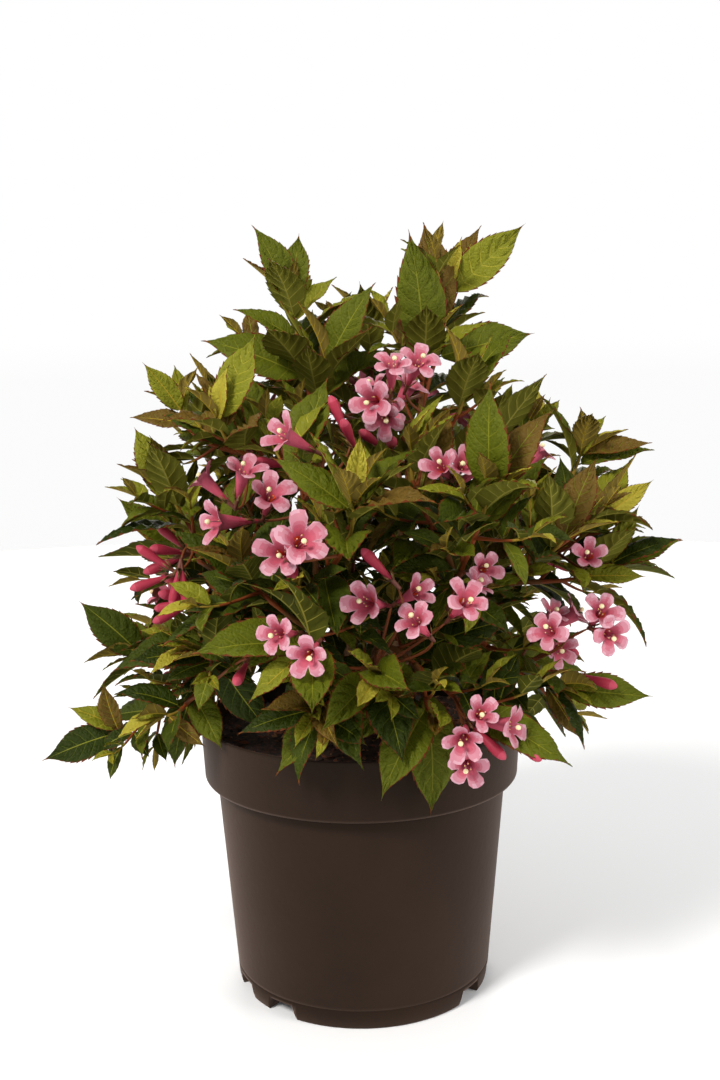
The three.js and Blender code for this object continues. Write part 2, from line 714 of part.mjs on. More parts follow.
/** A truss: its flowers and buds, fanned out round the way it faces, and its stalk from a shoot. */
function growTruss([mass, foot, [bearing, pitch], blooms, buds], truss, shoots) {
  const random = numbersFrom(9000 + 53 * truss);
  const base = place(foot);
  const axis = heading(bearing, pitch);
  const across = crossways(axis);
  const other = new THREE.Vector3().crossVectors(axis, across);
  const count = blooms + buds;
  const flowers = Array.from({ length: count }, (_, i) => {
    const turn = ((360 * i) / count + TRUSS.turnJitter * random()) * RADIANS;
    const lean = ((count > 1 ? TRUSS.fan : 0) + TRUSS.fanJitter * random()) * RADIANS;
    const direction = reachFrom(
      new THREE.Vector3(),
      [axis, Math.cos(lean)],
      [across, Math.sin(lean) * Math.cos(turn)],
      [other, Math.sin(lean) * Math.sin(turn)],
    );
    const size = between(TRUSS.sizes, random);
    const kind = i < blooms ? "bloom" : "bud";
    const root = reachFrom(base, [direction, -TRUSS.sink]);
    return { mass, truss, kind, root, direction, across: squareTo(across, direction), size };
  });
  const paths = shoots.filter((shoot) => shoot.mass === mass).map(({ path }) => path);
  const joints = paths.flatMap((path) => {
    return TRUSS.jointShares.map((share) => backFromTip(path, share * lengthOf(path)).point);
  });
  const joint = joints.reduce((best, point) => {
    return point.distanceTo(base) < best.distanceTo(base) ? point : best;
  });
  const leaving = base.clone().sub(joint).normalize();
  const arriving = axis.clone().lerp(leaving, TRUSS.straighten).normalize();
  const start = reachFrom(joint, [leaving, -TRUSS.sink]);
  const curve = bendTo(start, leaving, reachFrom(base, [axis, TRUSS.sink]), arriving);
  return { mass, truss, path: pathAlong(curve, TRUSS.steps), flowers };
}

/** Whether a shell is clear of everything in a list. */
function isClear(shell, taken) {
  return !taken.some((other) => shellsCross(shell, other));
}

// ---------------------------------------------------------------- building

const FINISH = {
  pot: { color: 0x40362f, roughness: 0.55, metalness: 0 },
  soil: { color: 0x3a2219, roughness: 0.95, metalness: 0 },
  wood: { color: 0x6b4a33, roughness: 0.8, metalness: 0 },
  foliage: { color: 0x3f5a26, roughness: 0.6, metalness: 0 },
};

const shrub = new THREE.Group();
shrub.name = "weigela";
shrub.add(meshOf("pot", makePot(), FINISH.pot));
shrub.add(meshOf("soil", makeSoil(), FINISH.soil));
shrub.add(meshOf("stem", makeStem(), FINISH.wood));

// The shells of what is already there: first the pot's top, then each bough.
const potTop = new THREE.LineCurve3(
  new THREE.Vector3(0, 0, POT.collarBottom),
  new THREE.Vector3(0, 0, POT.height + CLEARANCE.pot),
);
const potRadius = POT.rimRadius + CLEARANCE.pot;
const taken = [shellOf(limbShape(pathAlong(potTop, 1), potRadius, potRadius, POT.sides), {})];
const boughs = {};
for (const [name, plan] of Object.entries(BOUGHS)) {
  boughs[name] = boughPath(plan);
  const { corners, triangles } = limbShape(boughs[name], BOUGH.baseRadius, BOUGH.tipRadius, BOUGH.sides);
  shrub.add(meshOf(name, solidFrom(corners, triangles).subtract(makeStem(GAP)), FINISH.wood));
  const [base, tip] = [BOUGH.baseRadius, BOUGH.tipRadius].map((radius) => radius + CLEARANCE.bough);
  taken.push(shellOf(limbShape(boughs[name], base, tip, BOUGH.sides), {}));
}

const masses = [...FRONT_MASSES, ...backMasses(), TOP_BACK];
const pieces = Object.fromEntries(masses.map(([name]) => [name, []]));

/** Adds a thin limb to its mass, and its shell to what is there. */
function addTwig(owner, path, base, tip) {
  pieces[owner.mass].push(limbShape(path, base, tip, SHOOT.sides));
  const swollen = limbShape(path, base + CLEARANCE.twig, tip + CLEARANCE.twig, SHOOT.sides);
  taken.push(shellOf(swollen, owner));
}

const shoots = [];
const turns = rootTurns(masses, boughs);
masses.forEach((mass, i) => {
  shoots.push(...growShoots(mass, boughs[mass[1]], turns[i], shoots.length));
});
for (const { mass, shoot, path, base } of shoots) {
  addTwig({ mass, shoot }, path, base, SHOOT.tipRadius);
}

[...TRUSSES, ...backTrusses()].forEach((plan, truss) => {
  const { mass, path, flowers } = growTruss(plan, truss, shoots);
  addTwig({ mass, truss }, path, TRUSS.stalkRadius, TRUSS.stalkRadius);
  for (const flower of flowers) {
    const shape = flower.kind === "bloom" ? bloomShape : budShape;
    const shell = shellOf(shape(flower, CLEARANCE.leaf), { mass, truss });
    if (!isClear(shell, taken)) continue;
    taken.push(shell);
    pieces[mass].push(shape(flower));
  }
});

// The pairs next to the tips come first, so that every tip has its rosette.
const wanted = shoots.flatMap(leavesOf).sort((one, other) => one.rank - other.rank);
for (const leaf of wanted) {
  for (const change of TRIES) {
    const set = setLeaf(leaf, change);
    const shell = shellOf(leafShape(set, CLEARANCE.leaf), { mass: leaf.mass, shoot: leaf.shoot });
    shell.footless = shellOf(leafShape(set, CLEARANCE.leaf, LOOSE_FOOT), {}).faces;
    if (!isClear(shell, taken)) continue;
    taken.push(shell);
    pieces[leaf.mass].push(leafShape(set));
    break;
  }
}

for (const [name, shapes] of Object.entries(pieces)) {
  const solids = shapes.map(({ corners, triangles }) => solidFrom(corners, triangles));
  shrub.add(meshOf("foliage_" + name, mainBody(wasm.Manifold.union(solids)), FINISH.foliage));
}

export default shrub;
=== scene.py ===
"""A weigela in bloom, in its round nursery pot.

The frame's solids carry everything. The shoots, the trusses and the large leaves grow here by the same
seeded rule as the solids of the masses, and go on from there to side shoots, small leaves, petals and
bark. Lengths are in millimetres until a mesh is made. A bearing is in degrees, counter-clockwise from +X
as seen from above, and a place on the plant is (bearing, distance from the pot's axis, height).
"""

import math

import bpy
import numpy as np
from mathutils import Matrix, Vector, noise


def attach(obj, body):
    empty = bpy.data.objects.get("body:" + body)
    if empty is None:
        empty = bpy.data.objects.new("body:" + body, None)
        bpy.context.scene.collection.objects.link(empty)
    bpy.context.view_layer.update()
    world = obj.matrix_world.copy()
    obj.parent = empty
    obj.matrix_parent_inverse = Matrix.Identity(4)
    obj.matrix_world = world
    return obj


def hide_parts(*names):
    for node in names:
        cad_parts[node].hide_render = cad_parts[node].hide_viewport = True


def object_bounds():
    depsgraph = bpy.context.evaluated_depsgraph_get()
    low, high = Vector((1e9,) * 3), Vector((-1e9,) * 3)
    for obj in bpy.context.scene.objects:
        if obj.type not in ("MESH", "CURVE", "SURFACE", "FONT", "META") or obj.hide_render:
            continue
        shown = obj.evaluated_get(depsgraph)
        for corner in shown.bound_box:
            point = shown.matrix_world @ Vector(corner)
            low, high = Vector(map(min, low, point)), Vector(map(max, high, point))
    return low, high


MM = 0.001
RADIANS = math.pi / 180
FULL_TURN = 2 * math.pi
ABOUT_A_TURN = 6.28
UP = np.array([0.0, 0.0, 1.0])

# ---------------------------------------------------------------- sizes that the solids have too

GAP = 0.3
POT = dict(
    height=160, rim=95, rim_width=1.7, collar_bottom=125.5, collar=93, shoulder=86, foot=75.5,
    foot_width=10, wall=1.8, wall_slant=0.9, step_bottom=128.5, step_top=129.5, floor=9, floor_top=11,
)
NOTCH = dict(height=8.5, mouth=22, crown=16, pair_at=338, pair_turns=(0, 120, 240), pair_spread=13.5)
SOIL = dict(top=154, flat=24, edge=150.5)
STEM = dict(height=24, profile=((15, 0), (11.5, 0.28), (9.5, 0.8), (7, 1)), lean=(1.5, -1, 0))
BOUGH = dict(radii=(3.8, 3), sides=6, steps=5, inset=3, rise=12)
SHOOT = dict(
    base=1.9, side_base=1.75, tip=1.6, sides=3, steps=4, side_steps=3, root_spread=2.4, fork_back=0.62,
    fork_turn=0.5,
)
TIP_PITCH = dict(level_at=175, per_millimetre=0.5, least=-12, most=80)
CURVE_PULL = 0.36
# A pair of leaves is (share of the usual length, angle to the shoot, distance below the pair above).
LEAF = dict(
    length=64, width_share=0.43, widest_at=0.42, thickness=0.9,
    pairs=((0.66, 16, 2), (0.88, 34, 9), (1, 50, 13), (1.04, 60, 18)),
    bare_share=0.2, turn_jitter=24, angle_jitter=16, sizes=(0.88, 1.12), bends=(0.25, 0.7),
    folds=(0.25, 0.5), lift=0.16, steepest_droop=-0.5, levelling=0.6,
)
TRIES = ((0, 0), (18, 0), (-18, 0), (0, -16), (0, 14), (32, -8), (-32, -8))
TRUSS = dict(
    stalk=1.1, steps=2, sink=1, joints=(0.3, 0.4, 0.5, 0.6, 0.7, 0.8), fan=30, fan_jitter=8,
    turn_jitter=40, sizes=(0.94, 1.06), straighten=0.4,
)
LOBES = 5
BLOOM = dict(length=38, mouth=14.5, notch=7, notch_at=0.88, throat_at=0.74)
BUD = dict(length=28, radius=3.1, widest_at=0.7)
CLEARANCE = dict(bough=1, twig=0.5, side=0.3, leaf=0.45, pot=1.5)
LOOSE_FOOT = 0.16
POT_SHELL_SIDES = 32

# Each bough: its bearing, slope, start on the stem, and the reach and height of its tip.
BOUGHS = {
    "bough_left": (190, 35, 9, 52, 208),
    "bough_front_left": (238, 45, 16, 48, 216),
    "bough_front": (280, 35, 9, 50, 206),
    "bough_front_right": (320, 42, 13, 50, 216),
    "bough_right": (2, 38, 9, 54, 214),
    "bough_back_right": (48, 42, 15, 50, 212),
    "bough_back": (96, 38, 9, 50, 210),
    "bough_back_left": (146, 42, 15, 50, 212),
    "bough_top_left": (195, 78, 20, 20, 288),
    "bough_top_right": (345, 76, 20, 28, 284),
}
# Each mass: its bough and the places of its shoots' tips.
FRONT_MASSES = [
    ("top_left", "bough_top_left", [(180, 37, 402), (213, 20, 368)]),
    ("upper_left", "bough_top_left", [(219, 94, 336), (188, 100, 340)]),
    ("top_right", "bough_top_right", [(0, 55, 408), (352, 40, 372)]),
    ("upper_right", "bough_top_right", [(326, 71, 350), (8, 108, 324)]),
    ("left", "bough_left", [(196, 110, 296), (172, 112, 262)]),
    ("left_out", "bough_left", [(184, 128, 198), (222, 112, 214)]),
    ("low_left", "bough_left", [(196, 142, 161), (209, 122, 176)]),
    ("centre", "bough_front_left", [(269, 130, 297), (252, 100, 318)]),
    ("centre_left", "bough_front_left", [(260, 135, 229), (240, 118, 262)]),
    ("front", "bough_front", [(274, 112, 209), (258, 104, 190)]),
    ("low_right", "bough_front", [(303, 124, 184), (289, 112, 188)]),
    ("front_right", "bough_front_right", [(301, 126, 300), (288, 90, 318)]),
    ("right_low", "bough_front_right", [(327, 127, 192)]),
    ("right", "bough_right", [(332, 125, 270), (348, 144, 252)]),
    ("upper_outer_right", "bough_right", [(352, 140, 278), (0, 130, 312)]),
]
# On the far side each bough has a mass in each layer: its turn, its first tip, and the step to its second.
BACK_BOUGHS = ("bough_back_right", "bough_back", "bough_back_left")
BACK_LAYERS = (
    ("low", -8, 138, 184, (24, -14, 14)),
    ("middle", 10, 134, 246, (-26, -10, 12)),
    ("high", -6, 104, 316, (30, -22, 28)),
)
TOP_BACK = ("top_back", "bough_top_right", [(78, 40, 380), (100, 84, 352)])
# Each truss: its mass, its foot, the bearing and pitch it faces, and how many blooms and buds it has.
TRUSSES = [
    ("upper_left", (232, 103, 292), (235, 62), 2, 0),
    ("centre", (240, 98, 286), (250, 20), 2, 0),
    ("centre", (250, 92, 268), (262, 12), 3, 1),
    ("upper_left", (240, 70, 312), (262, 30), 0, 2),
    ("top_right", (300, 34, 334), (275, 45), 3, 0),
    ("top_right", (290, 50, 318), (262, 50), 2, 2),
    ("upper_right", (314, 72, 296), (290, 40), 2, 0),
    ("upper_right", (332, 96, 300), (310, 40), 1, 1),
    ("front", (279, 104, 244), (275, 28), 2, 0),
    ("front_right", (296, 104, 240), (292, 40), 2, 1),
    ("centre_left", (257, 112, 222), (262, 15), 3, 0),
    ("left", (200, 100, 262), (188, 12), 0, 3),
    ("left", (203, 98, 236), (192, 8), 0, 4),
    ("right_low", (334, 108, 214), (325, 20), 3, 1),
    ("right", (340, 118, 240), (338, 35), 2, 0),
    ("low_right", (296, 122, 186), (296, -8), 3, 1),
]
# A far mass has a truss at a step from a tip; turn is added to that tip's bearing for the way it faces.
BACK_TRUSS = dict(tip=0, step=(12, -30, -24), turn=0, pitch=25, buds=(1, 0, 1), first=len(TRUSSES))

# ---------------------------------------------------------------- what is grown only here

FURTHER_BACK_TRUSSES = (
    dict(tip=1, step=(8, -26, -20), turn=8, pitch=32, buds=(1, 1, 0), first=100),
    dict(tip=1, step=(-20, -14, -10), turn=-20, pitch=18, buds=(0, 1, 0), first=150),
)
BACK_BLOOMS = 2
FIRST_AIMED_TRUSS = 200
# Further flowers: the mass, the foot they share, and each one's kind, bearing and pitch.
AIMED_TRUSSES = (
    ("centre", (252, 103, 269), (("bloom", 256, 12), ("bloom", 243, 45), ("bloom", 283, 29))),
    ("top_right", (285, 68, 346), (("bloom", 274, 57), ("bloom", 248, 1), ("bloom", 260, -23))),
    ("centre_left", (257, 125, 235), (("bloom", 241, 9), ("bloom", 272, -14))),
    ("left", (208, 112, 254), (("bud", 194, -16), ("bud", 211, -58), ("bud", 186, 36))),
    ("left", (211, 112, 262), (("bud", 229, -73), ("bud", 306, -78))),
    ("centre", (268, 88, 324), (("bud", 180, 68), ("bud", 265, 59))),
    ("front", (279, 125, 257), (("bud", 172, 46),)),
    ("upper_right", (300, 97, 305), (("bloom", 249, 25), ("bloom", 281, 29))),
    ("upper_outer_right", (340, 132, 253), (("bloom", 267, 27),)),
    ("low_left", (243, 123, 219), (("bud", 260, -14),)),
    ("right_low", (330, 132, 199), (("bud", 317, -6),)),
    ("front", (286, 131, 231), (("bloom", 237, 36),)),
    ("front", (291, 120, 237), (("bloom", 296, 36),)),
    ("centre_left", (262, 135, 234), (("bloom", 257, -7),)),
    ("right_low", (319, 141, 223), (("bloom", 236, 23),)),
    ("right_low", (329, 142, 225), (("bloom", 288, 3), ("bloom", 278, 33))),
    ("centre", (260, 98, 320), (("bloom", 216, 26),)),
    ("front_right", (315, 82, 254), (("bloom", 292, 12),)),
    ("centre", (255, 135, 272), (("bloom", 290, 27),)),
    ("upper_right", (299, 53, 350), (("bloom", 292, 41),)),
    ("centre", (270, 90, 321), (("bud", 248, 42),)),
    ("low_right", (299, 113, 171), (("bloom", 266, -12),)),
    ("low_right", (307, 128, 175), (("bud", 297, -11),)),
)
# The flowers that the solids don't have may come a little closer to what is round them.
SLIM = 0.86
# Further pairs of leaves: lower down on a long shoot, and small ones round its growing tip.
LOWER_PAIRS = ((0.94, 66, 20), (0.84, 70, 20), (0.74, 74, 20))
TIP_PAIRS = ((0.4, 8, -0.5), (0.5, 21, 0.5))
TIP_PAIRS_START = -1.5
# Side shoots come from the axils: how far down the shoot, and how long they are.
SIDE = dict(
    every=13, uneven=(0.8, 1.2), first=16, chance=0.85, lengths=(20, 42), angles=(36, 58),
    radii=(1.0, 0.6), steps=3, turn_jitter=40, spin=3, rise=4, upturn=0.4,
    pairs=((0.34, 18, 1), (0.46, 42, 8), (0.5, 58, 11)), kept_clear=0.08,
)
# On this mass they start lower down, so that the outline stays as it is in the photo.
SIDE_START = dict(top_left=44)
# The boughs bear some too, inside the crown.
INNER_SIDE = dict(SIDE, every=19, first=6, chance=0.8, lengths=(24, 46), angles=(40, 72), kept_clear=0.3)
# How much shorter than the solids' the leaves of a thin part of the plant are.
LEAF_SCALE = dict(
    low_left=0.68, left_out=0.82, left=0.86, upper_left=0.86, top_left=0.9, right=0.9,
    upper_outer_right=0.9, right_low=0.88,
)
USUAL_LEAF_SCALE = 0.95
# Outstanding leaves: the mass and which of its shoots, how far down it, then bearing, pitch and length.
AIMED_LEAVES = (
    ("top_left", 0, 0, 226, 61, 48), ("top_left", 0, 1, 24, 84, 42), ("top_left", 0, 12, 5, 54, 36),
    ("top_left", 0, 44, 201, 27, 64), ("top_left", 0, 22, 201, 30, 41), ("top_left", 1, 2, 324, 57, 54),
    ("top_right", 1, 4, 260, 70, 74), ("top_right", 0, 3, 335, 39, 57), ("top_right", 0, 0, 277, 69, 30),
    ("top_right", 0, 40, 4, 17, 61), ("top_right", 1, 2, 337, 34, 44), ("upper_left", 0, 0, 281, 68, 32),
    ("upper_left", 1, 0, 218, 55, 36), ("upper_left", 0, 6, 11, 76, 42), ("left", 1, 2, 204, 40, 45),
    ("left", 0, 2, 172, 64, 46), ("left_out", 0, 0, 210, 50, 50), ("low_left", 0, 0, 199, -8, 45),
    ("low_left", 0, 2, 203, 37, 34), ("low_left", 0, 4, 201, -32, 27),
    ("upper_outer_right", 1, 0, 340, 15, 41), ("upper_outer_right", 1, 1, 311, 60, 21),
    ("upper_outer_right", 0, 0, 336, 34, 36), ("right", 1, 0, 338, 31, 43), ("right", 1, 2, 7, 59, 40),
    ("right", 1, 18, 338, 7, 38), ("upper_right", 1, 0, 289, 61, 24), ("right_low", 0, 0, 341, -3, 50),
    ("centre_left", 0, 2, 202, -27, 40), ("front", 1, 2, 198, -4, 45), ("low_left", 1, 1, 334, -37, 28),
    ("front", 1, 12, 206, -44, 48), ("right_low", 0, 8, 323, -53, 37), ("centre_left", 0, 14, 168, -26, 30),
    ("low_left", 1, 27, 266, -81, 36), ("upper_left", 1, 9, 187, 13, 36), ("right", 1, 0, 4, 26, 45),
    ("upper_outer_right", 1, 6, 353, 18, 46), ("top_right", 0, 21, 215, 75, 61),
    ("left_out", 1, 18, 345, -57, 54), ("low_left", 0, 0, 253, 54, 38), ("low_left", 1, 24, 305, -33, 41),
    ("front_right", 0, 0, 263, 65, 58), ("front_right", 0, 0, 345, 60, 53), ("centre", 0, 3, 190, 42, 47),
    ("centre", 0, 0, 312, 79, 36), ("right", 0, 0, 329, 74, 49), ("upper_left", 0, 0, 338, 68, 51),
)
AIMED_FACE = dict(bearing=265, pitch=38, spread=50, bend=0.3, fold=0.3, grown_from=40)
# Each use of chance has streams of its own: the first one's seed, and the step to the next one's.
SEEDS = dict(
    leaves=(1000, 37), lower_leaves=(2000, 41), tip_leaves=(3000, 43), side_shoots=(4000, 47),
    inner_shoots=(4500, 47), side_leaves=(5000, 59), chips=(6000, 0), aimed_leaves=(7000, 0),
    trusses=(9000, 53), aimed_trusses=(9500, 53), leaf_forms=(70000, 1), blossom=(80000, 1),
)


# ---------------------------------------------------------------- vectors and numbers


def vec(*parts):
    return np.array(parts, float)


def unit(v):
    return v / math.sqrt(v @ v)


def heading(bearing, pitch):
    """The unit vector at a bearing and a pitch above the horizon."""
    flat, bearing = math.cos(pitch * RADIANS), bearing * RADIANS
    return vec(flat * math.cos(bearing), flat * math.sin(bearing), math.sin(pitch * RADIANS))


def place(spot):
    bearing, reach, height = spot
    point = heading(bearing, 0) * reach
    point[2] = height
    return point


def stepped(spot, step):
    return tuple(a + b for a, b in zip(spot, step))


def square_to(v, axis):
    """The part of v that is square to an axis, as a unit vector."""
    return unit(v - axis * (v @ axis))


def swung(v, other, angle):
    """A unit vector swung by an angle towards another one that is square to it."""
    return v * math.cos(angle) + other * math.sin(angle)


def blend(a, b, share):
    return a + (b - a) * share


def stream(use, number=0):
    """A repeatable stream of numbers from 0 to 1, made as the solids' are."""
    first, step = SEEDS[use]
    state = first + step * number

    def draw():
        nonlocal state
        state = (state * 1664525 + 1013904223) & 0xFFFFFFFF
        return state / 2**32

    for _ in range(4):
        draw()
    return draw


def between(limits, draw):
    return limits[0] + (limits[1] - limits[0]) * draw()


# ---------------------------------------------------------------- limbs


def crossways(axis):
    """A unit vector square to an axis: a level one, but along X where the axis is upright."""
    level = vec(-axis[1], axis[0], 0)
    if level @ level <= 0.01:
        level = vec(1, 0, 0)
    return square_to(level, axis)


class Bend:
    """A cubic curve that leaves a point in one direction and comes to its end in another."""

    def __init__(self, start, leaving, end, arriving):
        pull = math.sqrt((end - start) @ (end - start)) * CURVE_PULL
        self.points = (start, start + leaving * pull, end - arriving * pull, end)

    def at(self, t):
        a, b, c, d = self.points
        k = 1 - t
        return a * k**3 + b * (3 * k * k * t) + c * (3 * k * t * t) + d * t**3

    def tangent(self, t):
        step = 0.0001
        return unit(self.at(min(t + step, 1)) - self.at(max(t - step, 0)))


def path_along(curve, steps, turn=0.0):
    """A path on a curve: its points, and at each the direction and a cross direction."""
    points = [curve.at(i / steps) for i in range(steps + 1)]
    along = [curve.tangent(i / steps) for i in range(steps + 1)]
    level = crossways(along[0])
    across = [swung(level, np.cross(along[0], level), turn)]
    for i in range(1, steps + 1):
        across.append(square_to(across[-1], along[i]))
    return dict(points=points, along=along, across=across, curve=curve, turn=turn)


def length_of(path):
    points = path["points"]
    return sum(math.dist(points[i], points[i + 1]) for i in range(len(points) - 1))


def back_from_tip(path, distance):
    """The place on a path at a distance back from its tip: point, direction, cross direction."""
    points, along, across = path["points"], path["along"], path["across"]
    left, i = distance, len(points) - 1
    span = math.dist(points[i], points[i - 1])
    while left > span and i > 1:
        left -= span
        i -= 1
        span = math.dist(points[i], points[i - 1])
    share = min(left / span, 1)
    point = blend(points[i], points[i - 1], share)
    return dict(point=point, along=unit(blend(along[i], along[i - 1], share)), across=across[i])


def rings_round(path, radii, sides, shift=0.0):
    """The points of a ring round each point of a path, turned on by a share of a side."""
    points, along, across = (np.array(path[key])[:, None] for key in ("points", "along", "across"))
    turns = (FULL_TURN * (np.arange(sides) + shift) / sides)[:, None]
    outward = across * np.cos(turns) + np.cross(along, across) * np.sin(turns)
    return (points + np.reshape(radii, (-1, 1, 1)) * outward).reshape(-1, 3)


def ring_walls(rings, sides, start=0):
    """The triangles between rings of points that are numbered on from start."""
    low = start + sides * np.arange(rings - 1)[:, None]
    a, b = low + np.arange(sides), low + (np.arange(sides) + 1) % sides
    return np.stack([a, b, b + sides, a, b + sides, a + sides], -1).reshape(-1, 3)


def closed_walls(rings, sides):
    """The triangles of a tube whose last two points, after the rings, close its foot and its tip."""
    ring, following = np.arange(sides), (np.arange(sides) + 1) % sides
    last, foot = (rings - 1) * sides, np.full(sides, rings * sides)
    caps = [(foot, following, ring), (foot + 1, last + ring, last + following)]
    return np.concatenate([ring_walls(rings, sides), *(np.stack(cap, -1) for cap in caps)])


def tube_mesh(path, radii, sides):
    """A round tube along a path, closed to a point at both ends, with a radius for each point."""
    points = path["points"]
    corners = np.concatenate([rings_round(path, radii, sides), points[:1], points[-1:]])
    return corners, closed_walls(len(points), sides)


def limb_shape(path, radii, sides):
    """The corners and triangles of a tapering limb with flat ends, as the solids have it."""
    rings = len(path["points"])
    last = (rings - 1) * sides
    corners = rings_round(path, np.linspace(*radii, rings), sides, 0.5)
    ends = [t for k in range(1, sides - 1) for t in ((0, k + 1, k), (last, last + k, last + k + 1))]
    return corners, np.concatenate([ring_walls(rings, sides), ends])


def tip_direction(tip):
    """The way a shoot points at its tip: outwards low on the plant, and upwards near its top."""
    pitch = (tip[2] - TIP_PITCH["level_at"]) * TIP_PITCH["per_millimetre"]
    return heading(tip[0], min(max(pitch, TIP_PITCH["least"]), TIP_PITCH["most"]))


# ---------------------------------------------------------------- plain shapes, for keeping clear

DIAMOND = np.array([(4, 1, 0), (5, 0, 1), (4, 2, 1), (5, 1, 2), (4, 3, 2), (5, 2, 3), (4, 0, 3), (5, 3, 0)])


def leaf_shape(leaf, swell, start=0.0):
    """The leaf as the solids have it: its outline's four corners and its rib."""
    length, turn, widest = leaf["length"], leaf["bend"], LEAF["widest_at"]
    direction, face = leaf["direction"], leaf["face"]
    half_width = length * LEAF["width_share"] / 2 + swell
    half_thickness = LEAF["thickness"] / 2 + swell

    def on_rib(share, lift):
        angle = turn * share
        ahead = length * math.sin(angle) / turn + lift * math.sin(angle)
        above = -length * (1 - math.cos(angle)) / turn + lift * math.cos(angle)
        return leaf["root"] + direction * ahead + face * above

    def on_edge(hand):
        high = on_rib(widest, half_width * math.sin(leaf["fold"]))
        return high + np.cross(face, direction) * (hand * half_width * math.cos(leaf["fold"]))

    outline = [on_rib(start, 0), on_edge(1), on_rib(1 + swell / length, 0), on_edge(-1)]
    return np.array([*outline, on_rib(widest, half_thickness), on_rib(widest, -half_thickness)]), DIAMOND


def star_ring(flower, distances, radii):
    """A ring of points round a flower's axis, whose distances from its foot take turns."""
    axis, across = flower["direction"], flower["across"]
    other = np.cross(axis, across)
    return [
        flower["root"] + axis * distances[k % len(distances)]
        + swung(across, other, FULL_TURN * k / len(radii)) * radius
        for k, radius in enumerate(radii)
    ]


def bloom_shape(flower, swell):
    """A flower as the solids have it: a five-pointed trumpet."""
    length = BLOOM["length"] * flower["size"]
    star = [(BLOOM["notch"] if k % 2 else BLOOM["mouth"]) * flower["size"] + swell for k in range(2 * LOBES)]
    corners = [
        *star_ring(flower, [0], [TRUSS["stalk"] + swell] * LOBES),
        *star_ring(flower, [length, BLOOM["notch_at"] * length], star),
        flower["root"] + flower["direction"] * (BLOOM["throat_at"] * length),
    ]
    throat = 3 * LOBES
    triangles = [(0, 2, 1), (0, 3, 2), (0, 4, 3)]
    for k in range(LOBES):
        following = (k + 1) % LOBES
        tip, notch, next_tip = LOBES + 2 * k, LOBES + 1 + 2 * k, LOBES + 2 * following
        triangles += [(k, notch, tip), (k, following, notch), (following, next_tip, notch)]
        triangles += [(throat, tip, notch), (throat, notch, next_tip)]
    return np.array(corners), np.array(triangles)


def bud_shape(flower, swell):
    """A bud as the solids have it: a five-sided club."""
    length = BUD["length"] * flower["size"]
    radii = [BUD["radius"] * flower["size"] + swell] * LOBES
    tip = flower["root"] + flower["direction"] * length
    corners = [flower["root"], *star_ring(flower, [BUD["widest_at"] * length], radii), tip]
    triangles = []
    for k in range(LOBES):
        here, following = 1 + k, 1 + (k + 1) % LOBES
        triangles += [(0, following, here), (LOBES + 1, here, following)]
    return np.array(corners), np.array(triangles)


def edges_pierce(faces, others):
    """Whether an edge of one set of faces passes through a face of the other."""
    starts = faces.reshape(-1, 1, 3)
    ends = np.roll(faces, -1, axis=1).reshape(-1, 1, 3)
    a = others[None, :, 0]
    u_edge, v_edge = others[None, :, 1] - a, others[None, :, 2] - a
    ray = ends - starts
    h = np.cross(ray, v_edge)
    det = (u_edge * h).sum(-1)
    flat = np.abs(det) < 1e-9
    det = np.where(flat, 1.0, det)
    s = starts - a
    u = (s * h).sum(-1) / det
    k = np.cross(s, u_edge)
    v = (ray * k).sum(-1) / det
    t = (v_edge * k).sum(-1) / det
    return bool((~flat & (u >= 0) & (u <= 1) & (v >= 0) & (u + v <= 1) & (t >= 0) & (t <= 1)).any())


class Taken:
    """The shells of what is already there."""

    def __init__(self, most=6000):
        self.low, self.high = np.zeros((most, 3)), np.zeros((most, 3))
        self.shells = []

    def add(self, shell):
        self.low[len(self.shells)] = shell["faces"].min((0, 1))
        self.high[len(self.shells)] = shell["faces"].max((0, 1))
        self.shells.append(shell)

    def add_if_clear(self, shell):
        """Adds a shell that crosses nothing; shells of one shoot, or of kin, are let off at their feet."""
        count = len(self.shells)
        low, high = shell["faces"].min((0, 1)), shell["faces"].max((0, 1))
        near = (self.low[:count] <= high).all(1) & (self.high[:count] >= low).all(1)
        whole, footless = [], []
        for i in np.flatnonzero(near):
            other = self.shells[i]
            if shell.get("truss") is not None and shell.get("truss") == other.get("truss"):
                continue
            if other.get("shoot") is None or other["shoot"] not in shell.get("kin", ()):
                whole.append(other["faces"])
            elif "footless" in other and "footless" in shell:
                footless.append(other["footless"])
        for mine, theirs in ((shell["faces"], whole), (shell.get("footless"), footless)):
            if theirs:
                theirs = np.concatenate(theirs)
                if edges_pierce(mine, theirs) or edges_pierce(theirs, mine):
                    return False
        self.add(shell)
        return True


def shell_of(shape, **owner):
    corners, triangles = shape
    return dict(faces=corners[triangles], **owner)


def limb_shell(path, radii, swell, sides, **owner):
    return shell_of(limb_shape(path, (radii[0] + swell, radii[1] + swell), sides), **owner)


def leaf_shell(leaf, kin):
    shell = shell_of(leaf_shape(leaf, CLEARANCE["leaf"]), shoot=leaf["shoot"], kin=kin)
    shell["footless"] = shell_of(leaf_shape(leaf, CLEARANCE["leaf"], LOOSE_FOOT))["faces"]
    return shell


# ---------------------------------------------------------------- growing by the solids' rule

STEM_FOOT = vec(0, 0, SOIL["top"] + GAP)


def bough_path(plan):
    bearing, slope, start_height, reach, height = plan
    start = STEM_FOOT + UP * start_height + heading(bearing, 0) * BOUGH["inset"]
    end = place((bearing, reach, height))
    curve = Bend(start, heading(bearing, slope), end, heading(bearing, slope + BOUGH["rise"]))
    return path_along(curve, BOUGH["steps"])


def back_masses():
    masses = []
    for bough in BACK_BOUGHS:
        for layer, turn, reach, height, second in BACK_LAYERS:
            lead = (BOUGHS[bough][0] + turn, reach, height)
            masses.append((bough.replace("bough_", "") + "_" + layer, bough, [lead, stepped(lead, second)]))
    return masses


